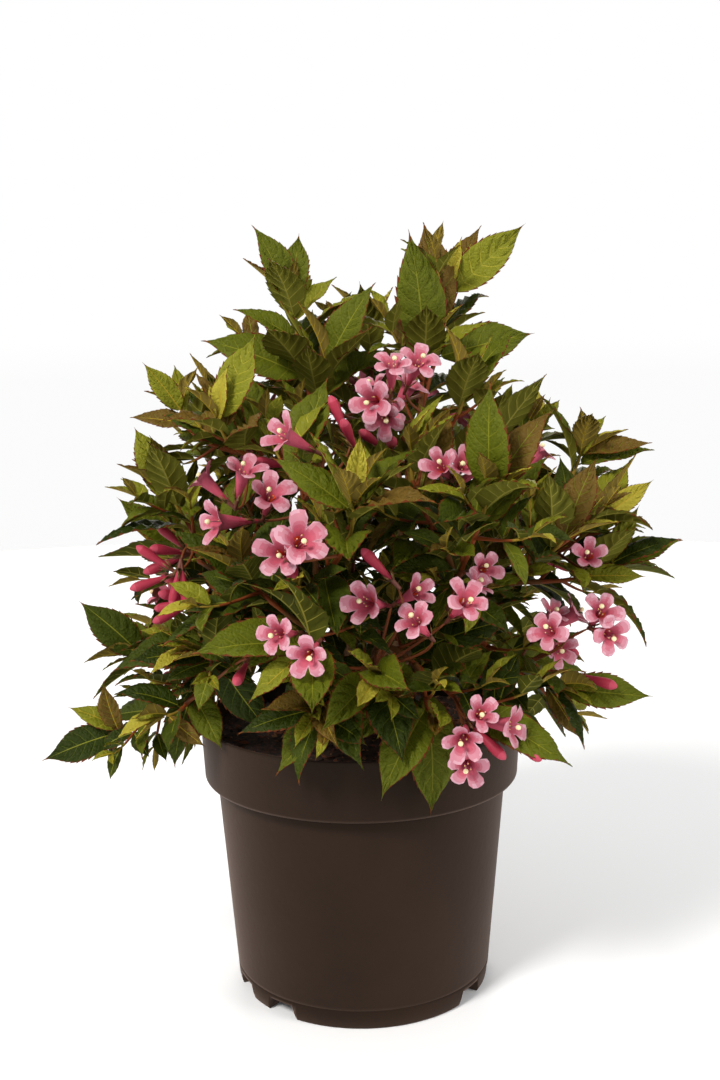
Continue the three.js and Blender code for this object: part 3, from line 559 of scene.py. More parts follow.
def back_trusses(rule, masses, shoots):
    """A truss for each far mass, by one of the rules for them."""
    trusses = []
    for i, (name, _, tips) in enumerate(masses):
        tip = tips[rule["tip"]]
        facing, buds = (tip[0] + rule["turn"], rule["pitch"]), rule["buds"][i % len(rule["buds"])]
        plan = (name, stepped(tip, rule["step"]), facing, BACK_BLOOMS, buds)
        trusses.append(grow_truss(plan, rule["first"] + i, shoots))
    return trusses


def grow_shoots(mass, limb, turn, first):
    """The shoots of a mass: the leading one from the bough's tip, the others from a fork on it."""
    name, _, tips = mass
    end, direction, across = limb["points"][-1], limb["along"][-1], limb["across"][-1]
    aside = swung(across, np.cross(direction, across), turn * RADIANS)
    start = end + direction * GAP + aside * SHOOT["root_spread"]
    lead = path_along(Bend(start, direction, place(tips[0]), tip_direction(tips[0])), SHOOT["steps"], first)
    shoots = [dict(mass=name, shoot=first, path=lead, base=SHOOT["base"], bough=limb)]
    for i, tip in enumerate(tips[1:], 1):
        fork = back_from_tip(lead, length_of(lead) * SHOOT["fork_back"])
        leaving = unit(blend(fork["along"], unit(place(tip) - fork["point"]), SHOOT["fork_turn"]))
        curve = Bend(fork["point"], leaving, place(tip), tip_direction(tip))
        path = path_along(curve, SHOOT["side_steps"], first + i)
        shoots.append(dict(mass=name, shoot=first + i, path=path, base=SHOOT["side_base"], bough=None))
    return shoots


def root_turns(masses, boughs):
    """The turns about its bough's tip at which each mass starts: evenly, by their sides."""

    def wish(mass):
        limb = boughs[mass[1]]
        direction, across = limb["along"][-1], limb["across"][-1]
        away = place(mass[2][0]) - limb["points"][-1]
        return math.atan2(away @ np.cross(direction, across), away @ across) / RADIANS

    turns = []
    for mass in masses:
        shared = sorted((other for other in masses if other[1] == mass[1]), key=wish)
        turns.append(wish(shared[0]) + 360 / len(shared) * shared.index(mass))
    return turns


def leaves_of(shoot, pairs, use, back=0.0, rank=0):
    """The leaves that a shoot would like to bear in pairs, from a distance behind its tip down."""
    draw = stream(use, shoot["shoot"])
    leafy = (1 - LEAF["bare_share"]) * length_of(shoot["path"])
    scale = LEAF_SCALE.get(shoot["mass"], USUAL_LEAF_SCALE)
    leaves = []
    for share, pair_angle, spacing in pairs:
        back += spacing
        if back > leafy:
            break
        node = back_from_tip(shoot["path"], back)
        for hand in (0, 180):
            leaf = dict(mass=shoot["mass"], shoot=shoot["shoot"], rank=rank, node=node)
            leaf["turn"] = 90 * rank + hand + LEAF["turn_jitter"] * (draw() - 0.5)
            leaf["angle"] = pair_angle + LEAF["angle_jitter"] * (draw() - 0.5)
            leaf["length"] = LEAF["length"] * share * between(LEAF["sizes"], draw) * scale
            leaf["bend"], leaf["fold"] = between(LEAF["bends"], draw), between(LEAF["folds"], draw)
            leaves.append(leaf)
        rank += 1
    return leaves


def set_leaf(leaf, change):
    """A leaf set on its node: where it points, and the way its upper side faces."""
    node = leaf["node"]
    other = np.cross(node["along"], node["across"])
    outward = swung(node["across"], other, (leaf["turn"] + change[0]) * RADIANS)
    direction = unit(swung(node["along"], outward, (leaf["angle"] + change[1]) * RADIANS) + UP * LEAF["lift"])
    direction[2] = max(direction[2], LEAF["steepest_droop"])
    direction = unit(direction)
    natural, level = square_to(node["along"], direction), square_to(UP, direction)
    face = square_to(blend(natural, level, LEAF["levelling"]), direction)
    return dict(leaf, root=node["point"], direction=direction, face=face)


def take_leaves(wanted, taken, *kin):
    """Each leaf in the first of its turns that is clear, and none where no turn is."""
    leaves = []
    for leaf in wanted:
        turns = (set_leaf(leaf, change) for change in TRIES)
        ready = next((t for t in turns if taken.add_if_clear(leaf_shell(t, (t["shoot"], *kin)))), None)
        if ready:
            leaves.append(ready)
    return leaves


def truss_on_stalk(mass, foot, axis, number, shoots, flowers):
    """A truss of (kind, size, direction, cross direction) flowers, and its stalk from the nearest joint."""
    base, sink = place(foot), TRUSS["sink"]
    joints = [
        back_from_tip(shoot["path"], share * length_of(shoot["path"]))["point"]
        for shoot in shoots
        if shoot["mass"] == mass
        for share in TRUSS["joints"]
    ]
    joint = min(joints, key=lambda point: math.dist(point, base))
    leaving = unit(base - joint)
    arriving = unit(blend(axis, leaving, TRUSS["straighten"]))
    curve = Bend(joint - leaving * sink, leaving, base + axis * sink, arriving)
    flowers = [
        dict(kind=kind, size=size, root=base - direction * sink, direction=direction, across=across)
        for kind, size, direction, across in flowers
    ]
    return dict(mass=mass, truss=number, path=path_along(curve, TRUSS["steps"]), flowers=flowers)


def grow_truss(plan, number, shoots):
    """A truss whose flowers and buds fan out round the way it faces."""
    mass, foot, facing, blooms, buds = plan
    draw = stream("trusses", number)
    axis, count = heading(*facing), blooms + buds
    across = crossways(axis)
    other = np.cross(axis, across)
    flowers = []
    for i in range(count):
        turn = (360 * i / count + TRUSS["turn_jitter"] * draw()) * RADIANS
        lean = ((TRUSS["fan"] if count > 1 else 0) + TRUSS["fan_jitter"] * draw()) * RADIANS
        direction = swung(axis, swung(across, other, turn), lean)
        kind = "bloom" if i < blooms else "bud"
        flowers.append((kind, between(TRUSS["sizes"], draw), direction, square_to(across, direction)))
    return truss_on_stalk(mass, foot, axis, number, shoots, flowers)


def grow_aimed_truss(plan, number, shoots):
    """A truss whose flowers are aimed one by one."""
    mass, foot, aims = plan
    draw = stream("aimed_trusses", number)
    flowers = []
    for kind, *aim in aims:
        direction = heading(*aim)
        level = crossways(direction)
        across = swung(level, np.cross(direction, level), FULL_TURN * draw())
        flowers.append((kind, between(TRUSS["sizes"], draw), direction, across))
    mean = unit(sum(heading(*aim) for _, *aim in aims))
    return truss_on_stalk(mass, foot, mean, number, shoots, flowers)


def aimed_leaves(shoots):
    """The outstanding leaves, each set where it is to point."""
    draw = stream("aimed_leaves")
    leaves = []
    for mass, which, back, bearing, pitch, length in AIMED_LEAVES:
        shoot = [s for s in shoots if s["mass"] == mass][which]
        direction = heading(bearing, pitch)
        facing = [AIMED_FACE[angle] + AIMED_FACE["spread"] * (draw() - 0.5) for angle in ("bearing", "pitch")]
        leaf = dict(mass=mass, shoot=shoot["shoot"], length=length, direction=direction)
        leaf.update(bend=AIMED_FACE["bend"], fold=AIMED_FACE["fold"])
        leaf["rank"] = int(length > AIMED_FACE["grown_from"])
        leaf["root"] = back_from_tip(shoot["path"], back)["point"]
        leaf["face"] = square_to(heading(*facing), direction)
        leaves.append(leaf)
    return leaves


def keep_flowers(truss, taken):
    """Those of a truss's flowers that are clear."""
    slim = SLIM if truss["truss"] >= FURTHER_BACK_TRUSSES[0]["first"] else 1
    kept = []
    for flower in truss["flowers"]:
        shape = bloom_shape if flower["kind"] == "bloom" else bud_shape
        slimmer = dict(flower, size=slim * flower["size"])
        if taken.add_if_clear(shell_of(shape(slimmer, CLEARANCE["leaf"]), truss=truss["truss"])):
            kept.append(flower)
    return kept


def grow():
    """The whole plant: boughs, shoots, side shoots, trusses, leaves."""
    taken = Taken()
    pot_top = Bend(vec(0, 0, POT["collar_bottom"]), UP, vec(0, 0, POT["height"] + CLEARANCE["pot"]), UP)
    taken.add(limb_shell(path_along(pot_top, 1), (POT["rim"], POT["rim"]), CLEARANCE["pot"], POT_SHELL_SIDES))
    boughs = {name: bough_path(plan) for name, plan in BOUGHS.items()}
    for name, limb in boughs.items():
        taken.add(limb_shell(limb, BOUGH["radii"], CLEARANCE["bough"], BOUGH["sides"], shoot=name))

    far_masses = back_masses()
    masses = [*FRONT_MASSES, *far_masses, TOP_BACK]
    shoots = []
    for mass, turn in zip(masses, root_turns(masses, boughs)):
        shoots += grow_shoots(mass, boughs[mass[1]], turn, len(shoots))
    for s in shoots:
        radii = (s["base"], SHOOT["tip"])
        taken.add(limb_shell(s["path"], radii, CLEARANCE["twig"], SHOOT["sides"], shoot=s["shoot"]))

    wanted = [grow_truss(plan, i, shoots) for i, plan in enumerate(TRUSSES)]
    wanted += back_trusses(BACK_TRUSS, far_masses, shoots)
    for rule in FURTHER_BACK_TRUSSES:
        wanted += back_trusses(rule, [*far_masses, TOP_BACK], shoots)
    wanted += [grow_aimed_truss(plan, i, shoots) for i, plan in enumerate(AIMED_TRUSSES, FIRST_AIMED_TRUSS)]
    trusses = []
    for truss in wanted:
        radii = (TRUSS["stalk"], TRUSS["stalk"])
        taken.add(limb_shell(truss["path"], radii, CLEARANCE["twig"], SHOOT["sides"], truss=truss["truss"]))
        truss["flowers"] = keep_flowers(truss, taken)
        if truss["flowers"]:
            trusses.append(truss)

    leaves = [leaf for leaf in aimed_leaves(shoots) if taken.add_if_clear(leaf_shell(leaf, (leaf["shoot"],)))]
    wanted = [leaf for s in shoots for leaf in leaves_of(s, LEAF["pairs"], "leaves")]
    leaves += take_leaves(sorted(wanted, key=lambda leaf: leaf["rank"]), taken)
    return boughs, shoots, grow_finer(boughs, shoots, taken, leaves), trusses, leaves


# ---------------------------------------------------------------- growing finer


def grow_finer(boughs, shoots, taken, leaves):
    """Adds tip leaves, lower pairs and leafy side shoots where there is room. Returns the side shoots."""
    below, count = sum(spacing for _, _, spacing in LEAF["pairs"]), len(LEAF["pairs"])
    for s in shoots:
        extra = leaves_of(s, LOWER_PAIRS, "lower_leaves", below, count)
        extra += leaves_of(s, TIP_PAIRS, "tip_leaves", TIP_PAIRS_START, -len(TIP_PAIRS))
        leaves += take_leaves(extra, taken)
    sides = []
    for s in shoots:
        rule = dict(SIDE, first=SIDE_START.get(s["mass"], SIDE["first"]))
        add_sides(s, rule, stream("side_shoots", s["shoot"]), len(shoots), sides, taken, leaves)
    for i, (name, limb) in enumerate(boughs.items()):
        mass = next(s["mass"] for s in shoots if s["bough"] is limb)
        bough = dict(mass=mass, shoot=name, path=limb)
        add_sides(bough, INNER_SIDE, stream("inner_shoots", i), len(shoots), sides, taken, leaves)
    return sides


def add_sides(parent, rule, draw, first, sides, taken, leaves):
    """Adds the leafy side shoots of one limb, from its tip down, where there is room."""
    back, level = rule["first"], 0
    while back < length_of(parent["path"]) * (1 - rule["kept_clear"]):
        for hand in (0, 180):
            side = grow_side(parent, rule, back, 90 * level + hand, first + len(sides), draw)
            owner = dict(shoot=side["shoot"], kin=(parent["shoot"],))
            shell = limb_shell(side["path"], rule["radii"], CLEARANCE["side"], SHOOT["sides"], **owner)
            shell["footless"] = shell["faces"][len(shell["faces"]) // rule["steps"] :]
            if draw() > rule["chance"] or not taken.add_if_clear(shell):
                continue
            sides.append(side)
            leaves += take_leaves(leaves_of(side, rule["pairs"], "side_leaves"), taken, parent["shoot"])
        back += rule["every"] * between(rule["uneven"], draw)
        level += 1


def grow_side(parent, rule, back, turn, number, draw):
    """A side shoot from a place on its parent: it leaves at an angle and bends up to the light."""
    node = back_from_tip(parent["path"], back)
    spin = (turn + rule["turn_jitter"] * (draw() - 0.5)) * RADIANS
    away = between(rule["angles"], draw) * RADIANS
    outward = swung(node["across"], np.cross(node["along"], node["across"]), spin)
    leaving = unit(swung(node["along"], outward, away))
    end = node["point"] + leaving * between(rule["lengths"], draw) + UP * rule["rise"]
    curve = Bend(node["point"], leaving, end, unit(leaving + UP * rule["upturn"]))
    path = path_along(curve, rule["steps"], rule["spin"] * draw())
    return dict(mass=parent["mass"], shoot=number, path=path)


# ---------------------------------------------------------------- materials

FURROW_DEPTH, GRAIN_DEPTH, GRAIN_DETAIL = 0.001, 0.0004, 4


def linear(red, green, blue):
    """A plain colour from its 0 to 255 screen values."""
    parts = (v / 255 for v in (red, green, blue))
    return [v / 12.92 if v <= 0.04045 else ((v + 0.055) / 1.055) ** 2.4 for v in parts] + [1.0]


def material(name, colour, roughness, bump=None, cells=None, **sockets):
    """A material with a plain base colour.

    bump is the (scale, strength) of a fine noise relief, cells that of a net of shallow furrows.
    """
    made = bpy.data.materials.new(name)
    made.use_nodes = True
    nodes = made.node_tree.nodes
    shader, where = nodes["Principled BSDF"], nodes.new("ShaderNodeTexCoord")
    for socket, value in dict(sockets, Base_Color=linear(*colour), Roughness=roughness).items():
        shader.inputs[socket.replace("_", " ")].default_value = value
    normal = shader.inputs["Normal"]
    if cells:
        net = nodes.new("ShaderNodeTexVoronoi")
        net.feature = "DISTANCE_TO_EDGE"
        normal = add_relief(made, where, net, "Distance", cells, FURROW_DEPTH, normal)
    if bump:
        grain = nodes.new("ShaderNodeTexNoise")
        grain.inputs["Detail"].default_value = GRAIN_DETAIL
        add_relief(made, where, grain, "Fac", bump, GRAIN_DEPTH, normal)
    return made


def add_relief(made, where, texture, output, look, depth, normal):
    """Puts a texture's relief in front of a normal socket. Returns the socket for the next one."""
    links, relief = made.node_tree.links, made.node_tree.nodes.new("ShaderNodeBump")
    texture.inputs["Scale"].default_value, relief.inputs["Strength"].default_value = look
    relief.inputs["Distance"].default_value = depth
    links.new(texture.outputs[output], relief.inputs["Height"])
    links.new(relief.outputs["Normal"], normal)
    links.new(where.outputs["Object"], texture.inputs["Vector"])
    return relief.inputs["Normal"]


def mottle(made, dark, light, scale, detail=6.0, spread=(0.35, 0.68), stretch=(1, 1, 1)):
    """Gives a material's colour a noise between two shades."""
    nodes, links = made.node_tree.nodes, made.node_tree.links
    where, stretched = nodes.new("ShaderNodeTexCoord"), nodes.new("ShaderNodeMapping")
    grain, ramp = nodes.new("ShaderNodeTexNoise"), nodes.new("ShaderNodeValToRGB")
    stretched.inputs["Scale"].default_value = stretch
    grain.inputs["Scale"].default_value = scale
    grain.inputs["Detail"].default_value = detail
    for stop, position, colour in zip(ramp.color_ramp.elements, spread, (dark, light)):
        stop.position, stop.color = position, linear(*colour)
    links.new(where.outputs["Object"], stretched.inputs["Vector"])
    links.new(stretched.outputs["Vector"], grain.inputs["Vector"])
    links.new(grain.outputs["Fac"], ramp.inputs["Fac"])
    links.new(ramp.outputs["Color"], nodes["Principled BSDF"].inputs["Base Color"])
    return made


def palette(looks, prefix=""):
    """A material for each row of a table: its colour, its roughness and its finish."""
    return [material(prefix + name, *look[:2], **look[2]) for name, look in looks.items()]


# ---------------------------------------------------------------- gathering meshes


def put(name, data):
    """A new object in the scene."""
    made = bpy.data.objects.new(name, data)
    bpy.context.scene.collection.objects.link(made)
    return made


class Heap:
    """Points, triangles and material numbers, gathered for one piece."""

    def __init__(self):
        self.points, self.triangles, self.slots, self.count = [], [], [], 0

    def add(self, points, triangles, slots):
        triangles = np.asarray(triangles)
        self.points.append(np.asarray(points).reshape(-1, 3))
        self.triangles.append(triangles + self.count)
        self.slots.append(np.broadcast_to(np.asarray(slots), (len(triangles),)))
        self.count += len(self.points[-1])

    def add_tube(self, path, radii, sides, slots, rows):
        """Adds a tube; its slots are dealt out from its foot to its tip, over a number of rows."""
        at_foot, at_tip = np.zeros(sides), np.full(sides, 0.99)
        corners, triangles = tube_mesh(path, radii, sides)
        walls = np.repeat(np.arange(len(radii) - 1) / rows, 2 * sides)
        shares = np.concatenate([walls, at_foot, at_tip])
        self.add(corners, triangles, np.array(slots)[(shares * len(slots)).astype(int)])

    def piece(self, name, materials, creases=None):
        """A smooth-shaded object; an edge between two points that are both creases stays sharp."""
        points = np.concatenate(self.points) * MM
        mesh = bpy.data.meshes.new(name)
        mesh.from_pydata(points.tolist(), [], np.concatenate(self.triangles).tolist())
        mesh.polygons.foreach_set("material_index", np.concatenate(self.slots).astype(np.int32))
        mesh.polygons.foreach_set("use_smooth", np.ones(len(mesh.polygons), bool))
        if creases is not None:
            ends = np.empty(2 * len(mesh.edges), np.int32)
            mesh.edges.foreach_get("vertices", ends)
            sharp = creases[ends.reshape(-1, 2)].all(1)
            mesh.attributes.new("sharp_edge", "BOOLEAN", "EDGE").data.foreach_set("value", sharp)
        for used in materials:
            mesh.materials.append(used)
        mesh.update()
        return put(name, mesh)


def single_piece(name, points, triangles, *materials):
    heap = Heap()
    heap.add(points, triangles, 0)
    return heap.piece(name, materials)


# ---------------------------------------------------------------- leaves in detail

LEAF_BUMP, LEAF_CELLS = (900, 0.4), (420, 0.85)
GLOSS = dict(bump=LEAF_BUMP, cells=LEAF_CELLS, Specular_IOR_Level=0.12, Specular_Tint=(1, 0.96, 0.84, 1))
DULL = dict(bump=LEAF_BUMP, Specular_IOR_Level=0.08)
LEAF_LOOKS = dict(
    dark=((36, 47, 5), 0.54, GLOSS),
    deep=((53, 63, 9), 0.54, GLOSS),
    mid=((79, 86, 14), 0.54, GLOSS),
    bright=((112, 114, 28), 0.5, GLOSS),
    young=((152, 143, 48), 0.52, GLOSS),
    bronze=((95, 74, 27), 0.5, GLOSS),
    vein_dark=((64, 75, 17), 0.5, DULL),
    vein_mid=((99, 103, 28), 0.5, DULL),
    vein_pale=((146, 139, 46), 0.5, DULL),
    margin=((88, 42, 18), 0.6, DULL),
    tip=((112, 62, 26), 0.6, DULL),
    rib=((116, 118, 34), 0.5, DULL),
    rib_young=((160, 136, 40), 0.5, DULL),
    under=((74, 77, 23), 0.62, DULL),
    under_bright=((97, 96, 31), 0.62, DULL),
    under_young=((121, 104, 45), 0.62, DULL),
    vein_under=((136, 130, 54), 0.62, DULL),
)
LEAF_MATERIALS = palette(LEAF_LOOKS, "leaf_")
LEAF_ORDER = list(LEAF_LOOKS)
VEIN_OF = dict(
    dark="vein_dark", deep="vein_dark", mid="vein_mid", bright="vein_pale", young="vein_pale",
    bronze="vein_mid",
)
# Shares of the leaf's length: where its blade starts, and how far back its stalk runs.
PETIOLE, STALK_END = 0.06, -0.02
# A half leaf's width follows a sine to a power: how far forward it is fullest, and how it draws out.
OUTLINE = dict(fullest=0.76, foot=0.62, drawn_out=1.4, late=2.5)
# The rows from one side vein to the next: where, as a share of the way, and how far they bulge.
VEIN_ROWS = ((0, 0), (0.1, 0), (0.55, 1))
SMALL_LEAF = 36
RIB = 0.026
# Columns across a half leaf: share of the half width, and how much of the bulge they take.
MIDDLE, INNER = (0.46, 1.0), (0.9, 0.4)
TOOTH, NOTCH_CUT, BETWEEN_TEETH, TOOTH_LEAN = 1.03, 0.925, 0.95, 0.008
VEINS = dict(thinning=0.75, sweep=0.85, sweep_power=1.25, relief_power=0.7)
BROWN_TIP, TIP_CHANCE = 0.93, 0.7
# How far the lower layers lie below the blade, in blade thicknesses.
LAYER = dict(keel=-1.5, keel_side=-0.5, below=-1.0, under=-0.7)
KEEL_WIDTH = 1.5
# The form: shares of the length for what lifts or moves a point, radians for twist and folds.
FORM = dict(
    twist=1.1, width=0.98, young_width=0.84, wider=0.2, fold=0.1, young_fold=0.35, shut=0.45, opening=0.5,
    sickle=0.2, curl=0.2, least_curl=0.3, relief=0.048, hook=0.16, hook_level=0.6, wave=0.024,
    least_wave=0.3, waves=12, other_half=1.5, thickness=0.008, thinning=0.75, least_thickness=0.1,
    bend_power=1.15,
)
LEAST_WIDTHS = dict(foot=0.4, tip=0.04)
# Where a leaf's height counts for its colour: from here on, over this height, and how far chance moves it.
COLOUR_HEIGHT = dict(start=180, span=260, vary=0.25)


def half_width(t):
    """A leaf's half width along its length, as a share of its greatest: a round base and a drawn-out tip."""
    blade = np.clip((t - PETIOLE) / (1 - PETIOLE), 0, 1)
    power = OUTLINE["foot"] + OUTLINE["drawn_out"] * blade ** OUTLINE["late"]
    return np.sin(math.pi * blade ** OUTLINE["fullest"]) ** power


class LeafPattern:
    """One leaf laid flat: for each point its place along and across, its relief and its layer."""

    def __init__(self, veins):
        count = len(VEIN_ROWS)
        row = np.append(np.tile(np.arange(count), veins), 0)
        self.base = np.array([(v + part) / veins for v in range(veins) for part, _ in VEIN_ROWS] + [1.0])
        self.bulge = np.array([high for _, high in VEIN_ROWS] * veins + [0.0])
        self.is_vein = (row == 0)[:-1]
        self.vein_edge = np.where(row == 1, VEIN_ROWS[1][0] / veins, 0.0)
        self.points, self.triangles, self.slots = [], [], []

        ribs = {hand: self.column(hand * RIB) for hand in (1, -1)}
        keel = self.column(0.0, layer=LAYER["keel"])
        keels = {hand: self.column(hand * RIB * KEEL_WIDTH, layer=LAYER["keel_side"]) for hand in (1, -1)}
        self.strip(ribs[1], ribs[-1], "rib")
        for hand in (1, -1):
            middle = self.column(hand * MIDDLE[0], MIDDLE[1])
            inner = self.column(hand * INNER[0], INNER[1])
            below = self.column(hand * MIDDLE[0], MIDDLE[1], LAYER["below"])
            under = self.column(hand * INNER[0], INNER[1], LAYER["under"])
            tooth = self.column(hand * np.where(row != 1, TOOTH, BETWEEN_TEETH), outline=True)
            notch = np.where(row != 1, NOTCH_CUT, BETWEEN_TEETH)
            notch = self.column(hand * notch, outline=True, lead=TOOTH_LEAN)
            self.strip(ribs[hand], middle, "blade", -hand)
            self.strip(middle, inner, "blade", -hand)
            self.edge(inner, tooth, notch, "blade", "margin", hand)
            self.strip(keel, keels[hand], "rib_under", hand)
            self.strip(keels[hand], below, "under", hand)
            self.strip(below, under, "under", hand)
            self.edge(under, tooth, notch, "under", "under", -hand)
            foot = [ribs[hand][0], middle[0], inner[0], tooth[0], under[0], below[0], keels[hand][0]]
            for a, b in zip(foot, foot[1:]):
                self.face(keel[0], a, b, "under", -hand)
        self.stalk(ribs, keel)
        self.t, self.s, self.h, self.layer, outline = np.concatenate(self.points).T
        self.outline, self.triangles = outline > 0, np.concatenate(self.triangles)

    def add_points(self, *parts):
        """Points by place along, place across, relief, layer and whether they are on the outline."""
        start = sum(len(part) for part in self.points)
        self.points.append(np.stack(np.broadcast_arrays(*parts), -1).astype(float))
        return np.arange(start, start + len(self.points[-1]))

    def column(self, s, rise=0.0, layer=0.0, outline=False, lead=0.0):
        """Points up the leaf at one share of its width. Side veins sweep forward as they go out."""
        share = np.abs(s)
        base = self.base - self.vein_edge * VEINS["thinning"] * share
        along = base + VEINS["sweep"] * base * (1 - base) * share ** VEINS["sweep_power"] + lead
        relief = self.bulge * rise * np.sin(math.pi * self.base) ** VEINS["relief_power"]
        return self.add_points(PETIOLE + (1 - PETIOLE) * np.clip(along, 0, 1), s, relief, layer, outline)

    def slots_for(self, slot, veined=True):
        """Each row's slot: a vein's row in the vein's colour, and a brown tip."""
        if slot not in ("blade", "under"):
            return [slot] * (len(self.base) - 1)
        vein = {"blade": "vein", "under": "rib_under"}[slot] if veined else slot
        ends = self.base[1:] > BROWN_TIP
        return ["tip" if end else vein if is_vein else slot for end, is_vein in zip(ends, self.is_vein)]

    def strip(self, left, right, slot, hand=1):
        """Two triangles for each row between two columns, facing up with left on the left."""
        a, b, c, d = left[:-1], right[:-1], right[1:], left[1:]
        for face in (np.stack([a, b, c], -1), np.stack([a, c, d], -1)):
            self.triangles.append(face[:, ::hand])
            self.slots += self.slots_for(slot)

    def edge(self, inner, tooth, notch, slot, margin, hand):
        """The toothed margin along a column."""
        faces = (
            (inner[:-1], tooth[:-1], notch[:-1], margin),
            (inner[:-1], notch[:-1], inner[1:], slot),
            (inner[1:], notch[:-1], tooth[1:], margin),
        )
        for a, b, c, part in faces:
            self.triangles.append(np.stack([a, b, c], -1)[:, ::-hand])
            self.slots += self.slots_for(part, veined=False)

    def face(self, a, b, c, slot, hand=1):
        self.triangles.append(np.array([[a, b, c]])[:, ::hand])
        self.slots.append(slot)

    def stalk(self, ribs, keel):
        """The stalk runs back from the foot of the rib and the keel."""
        far = self.add_points(STALK_END, (RIB, -RIB, 0), 0, (0, 0, LAYER["keel"]), False)
        near = (ribs[1][0], ribs[-1][0], keel[0])
        for i in range(3):
            following = (i + 1) % 3
            self.face(near[following], far[following], near[i], "rib")
            self.face(far[following], far[i], near[i], "rib")
        self.face(*far, "rib")


PATTERNS = {"full": LeafPattern(8), "small": LeafPattern(4)}


def kind_of(leaf, draw):
    """Which colours a leaf has, by its place on its shoot, its height and chance."""
    rank, chance = leaf["rank"], draw()
    high = (leaf["root"][2] - COLOUR_HEIGHT["start"]) / COLOUR_HEIGHT["span"]
    high += COLOUR_HEIGHT["vary"] * (draw() - 0.5)
    # Each blade colour is dealt out up to its limit.
    if rank < 0:
        limits = dict(young=0.2 + 0.6 * high, bright=0.85, bronze=1)
    elif rank == 0:
        limits = dict(young=0.1 + 0.3 * high, bright=0.75, bronze=1)
    elif rank == 1 and high > 0.3:
        limits = dict(bright=0.35, mid=0.8, bronze=1)
    elif high > 0.45:
        limits = dict(bright=0.12, mid=0.5, deep=0.9, bronze=1)
    else:
        limits = dict(bright=0.06, mid=0.28, deep=0.62, dark=1)
    blade = next(colour for colour, limit in limits.items() if chance < limit)
    tip = "tip" if draw() < TIP_CHANCE else blade
    kind = dict(blade=blade, margin="margin", tip=tip, vein=VEIN_OF[blade], rib="rib", rib_under="vein_under")
    kind["under"] = "under_bright" if high > 0.35 else "under"
    if rank <= 0:
        kind.update(rib="rib_young", under="under_young", rib_under="rib_young")
    return kind


def lay_leaves(heap, leaves, pattern, creases):
    """Adds leaves to a heap, all bent, folded and waved from one pattern."""
    draw, count = stream("leaf_forms", len(leaves)), len(leaves)

    def gather(key):
        return np.array([leaf[key] for leaf in leaves])

    def chances():
        return np.array([draw() for _ in range(count)])[:, None]

    root, direction, face = (gather(key)[:, None] for key in ("root", "direction", "face"))
    length, bend, fold = (gather(key)[:, None] for key in ("length", "bend", "fold"))
    twist, wave, phase, curl, broad, sickle, hook, shut = (chances() for _ in range(8))
    young = (gather("rank") <= 0)[:, None]
    broad = np.where(young, FORM["young_width"], FORM["width"]) + FORM["wider"] * broad
    fold = fold + np.where(young, FORM["young_fold"], FORM["fold"]) + FORM["shut"] * shut**3
    t, s = pattern.t[None], pattern.s[None]
    onward, fullness = np.clip(t, 0, 1), half_width(t)

    width = length * LEAF["width_share"] / 2 * broad * fullness
    least = LEAST_WIDTHS["foot"] * (1 - onward) + LEAST_WIDTHS["tip"]
    reach = np.sign(s) * np.maximum(width * abs(s), np.minimum(abs(s) / RIB, 1) * least)
    fold = fold * (1 - FORM["opening"] * t)
    x = reach * np.cos(fold) + (sickle - 0.5) * FORM["sickle"] * length * onward**2
    lift = abs(reach) * np.sin(fold) - FORM["curl"] * width * s**2 * (FORM["least_curl"] + curl)
    lift += pattern.h * length * FORM["relief"]
    lift += (hook - FORM["hook_level"]) * FORM["hook"] * length * onward**4
    ripple = np.sin(phase * ABOUT_A_TURN + FORM["waves"] * t + FORM["other_half"] * np.sign(s))
    lift += (FORM["least_wave"] + wave) * FORM["wave"] * length * ripple * abs(s) * fullness
    thickness = FORM["thickness"] * length * (1 - FORM["thinning"] * t) + FORM["least_thickness"]
    lift += pattern.layer * thickness

    angle, spin = bend * onward ** FORM["bend_power"], (twist - 0.5) * FORM["twist"] * onward**2
    lifted = lift * np.cos(spin)
    ahead = length * np.sin(bend * t) / bend + lifted * np.sin(angle)
    above = -length * (1 - np.cos(bend * t)) / bend + lifted * np.cos(angle) + x * np.sin(spin)
    aside = x * np.cos(spin) - lift * np.sin(spin)
    points = root + direction * ahead[..., None] + face * above[..., None]
    points = np.clip(points + np.cross(face, direction) * aside[..., None], *CROWN_BOX)
    triangles = pattern.triangles + (np.arange(count) * len(pattern.t))[:, None, None]
    kinds = [kind_of(leaf, draw) for leaf in leaves]
    slots = [LEAF_ORDER.index(kind[slot]) for kind in kinds for slot in pattern.slots]
    heap.add(points, triangles.reshape(-1, 3), slots)
    creases.append(np.tile(pattern.outline, count))


def make_leaves(mass, leaves):
    heap, creases = Heap(), []
    for key, pattern in PATTERNS.items():
        chosen = [leaf for leaf in leaves if (leaf["length"] < SMALL_LEAF) == (key == "small")]
        if chosen:
            lay_leaves(heap, chosen, pattern, creases)
    return heap.piece(f"leaves_{mass}", LEAF_MATERIALS, np.concatenate(creases))


# ---------------------------------------------------------------- twigs and stalks

TWIG_LOOKS = dict(
    twig_brown=((104, 66, 34), 0.6, dict(bump=(500, 0.5), Specular_IOR_Level=0.15)),
    twig_red=((122, 60, 28), 0.55, dict(bump=(500, 0.4), Specular_IOR_Level=0.15)),
    twig_green=((132, 108, 36), 0.55, dict(bump=(500, 0.3), Specular_IOR_Level=0.15)),
    stalk_red=((112, 60, 34), 0.5, dict(bump=(500, 0.3), Specular_IOR_Level=0.15)),
)
TWIG_MATERIALS = palette(TWIG_LOOKS)
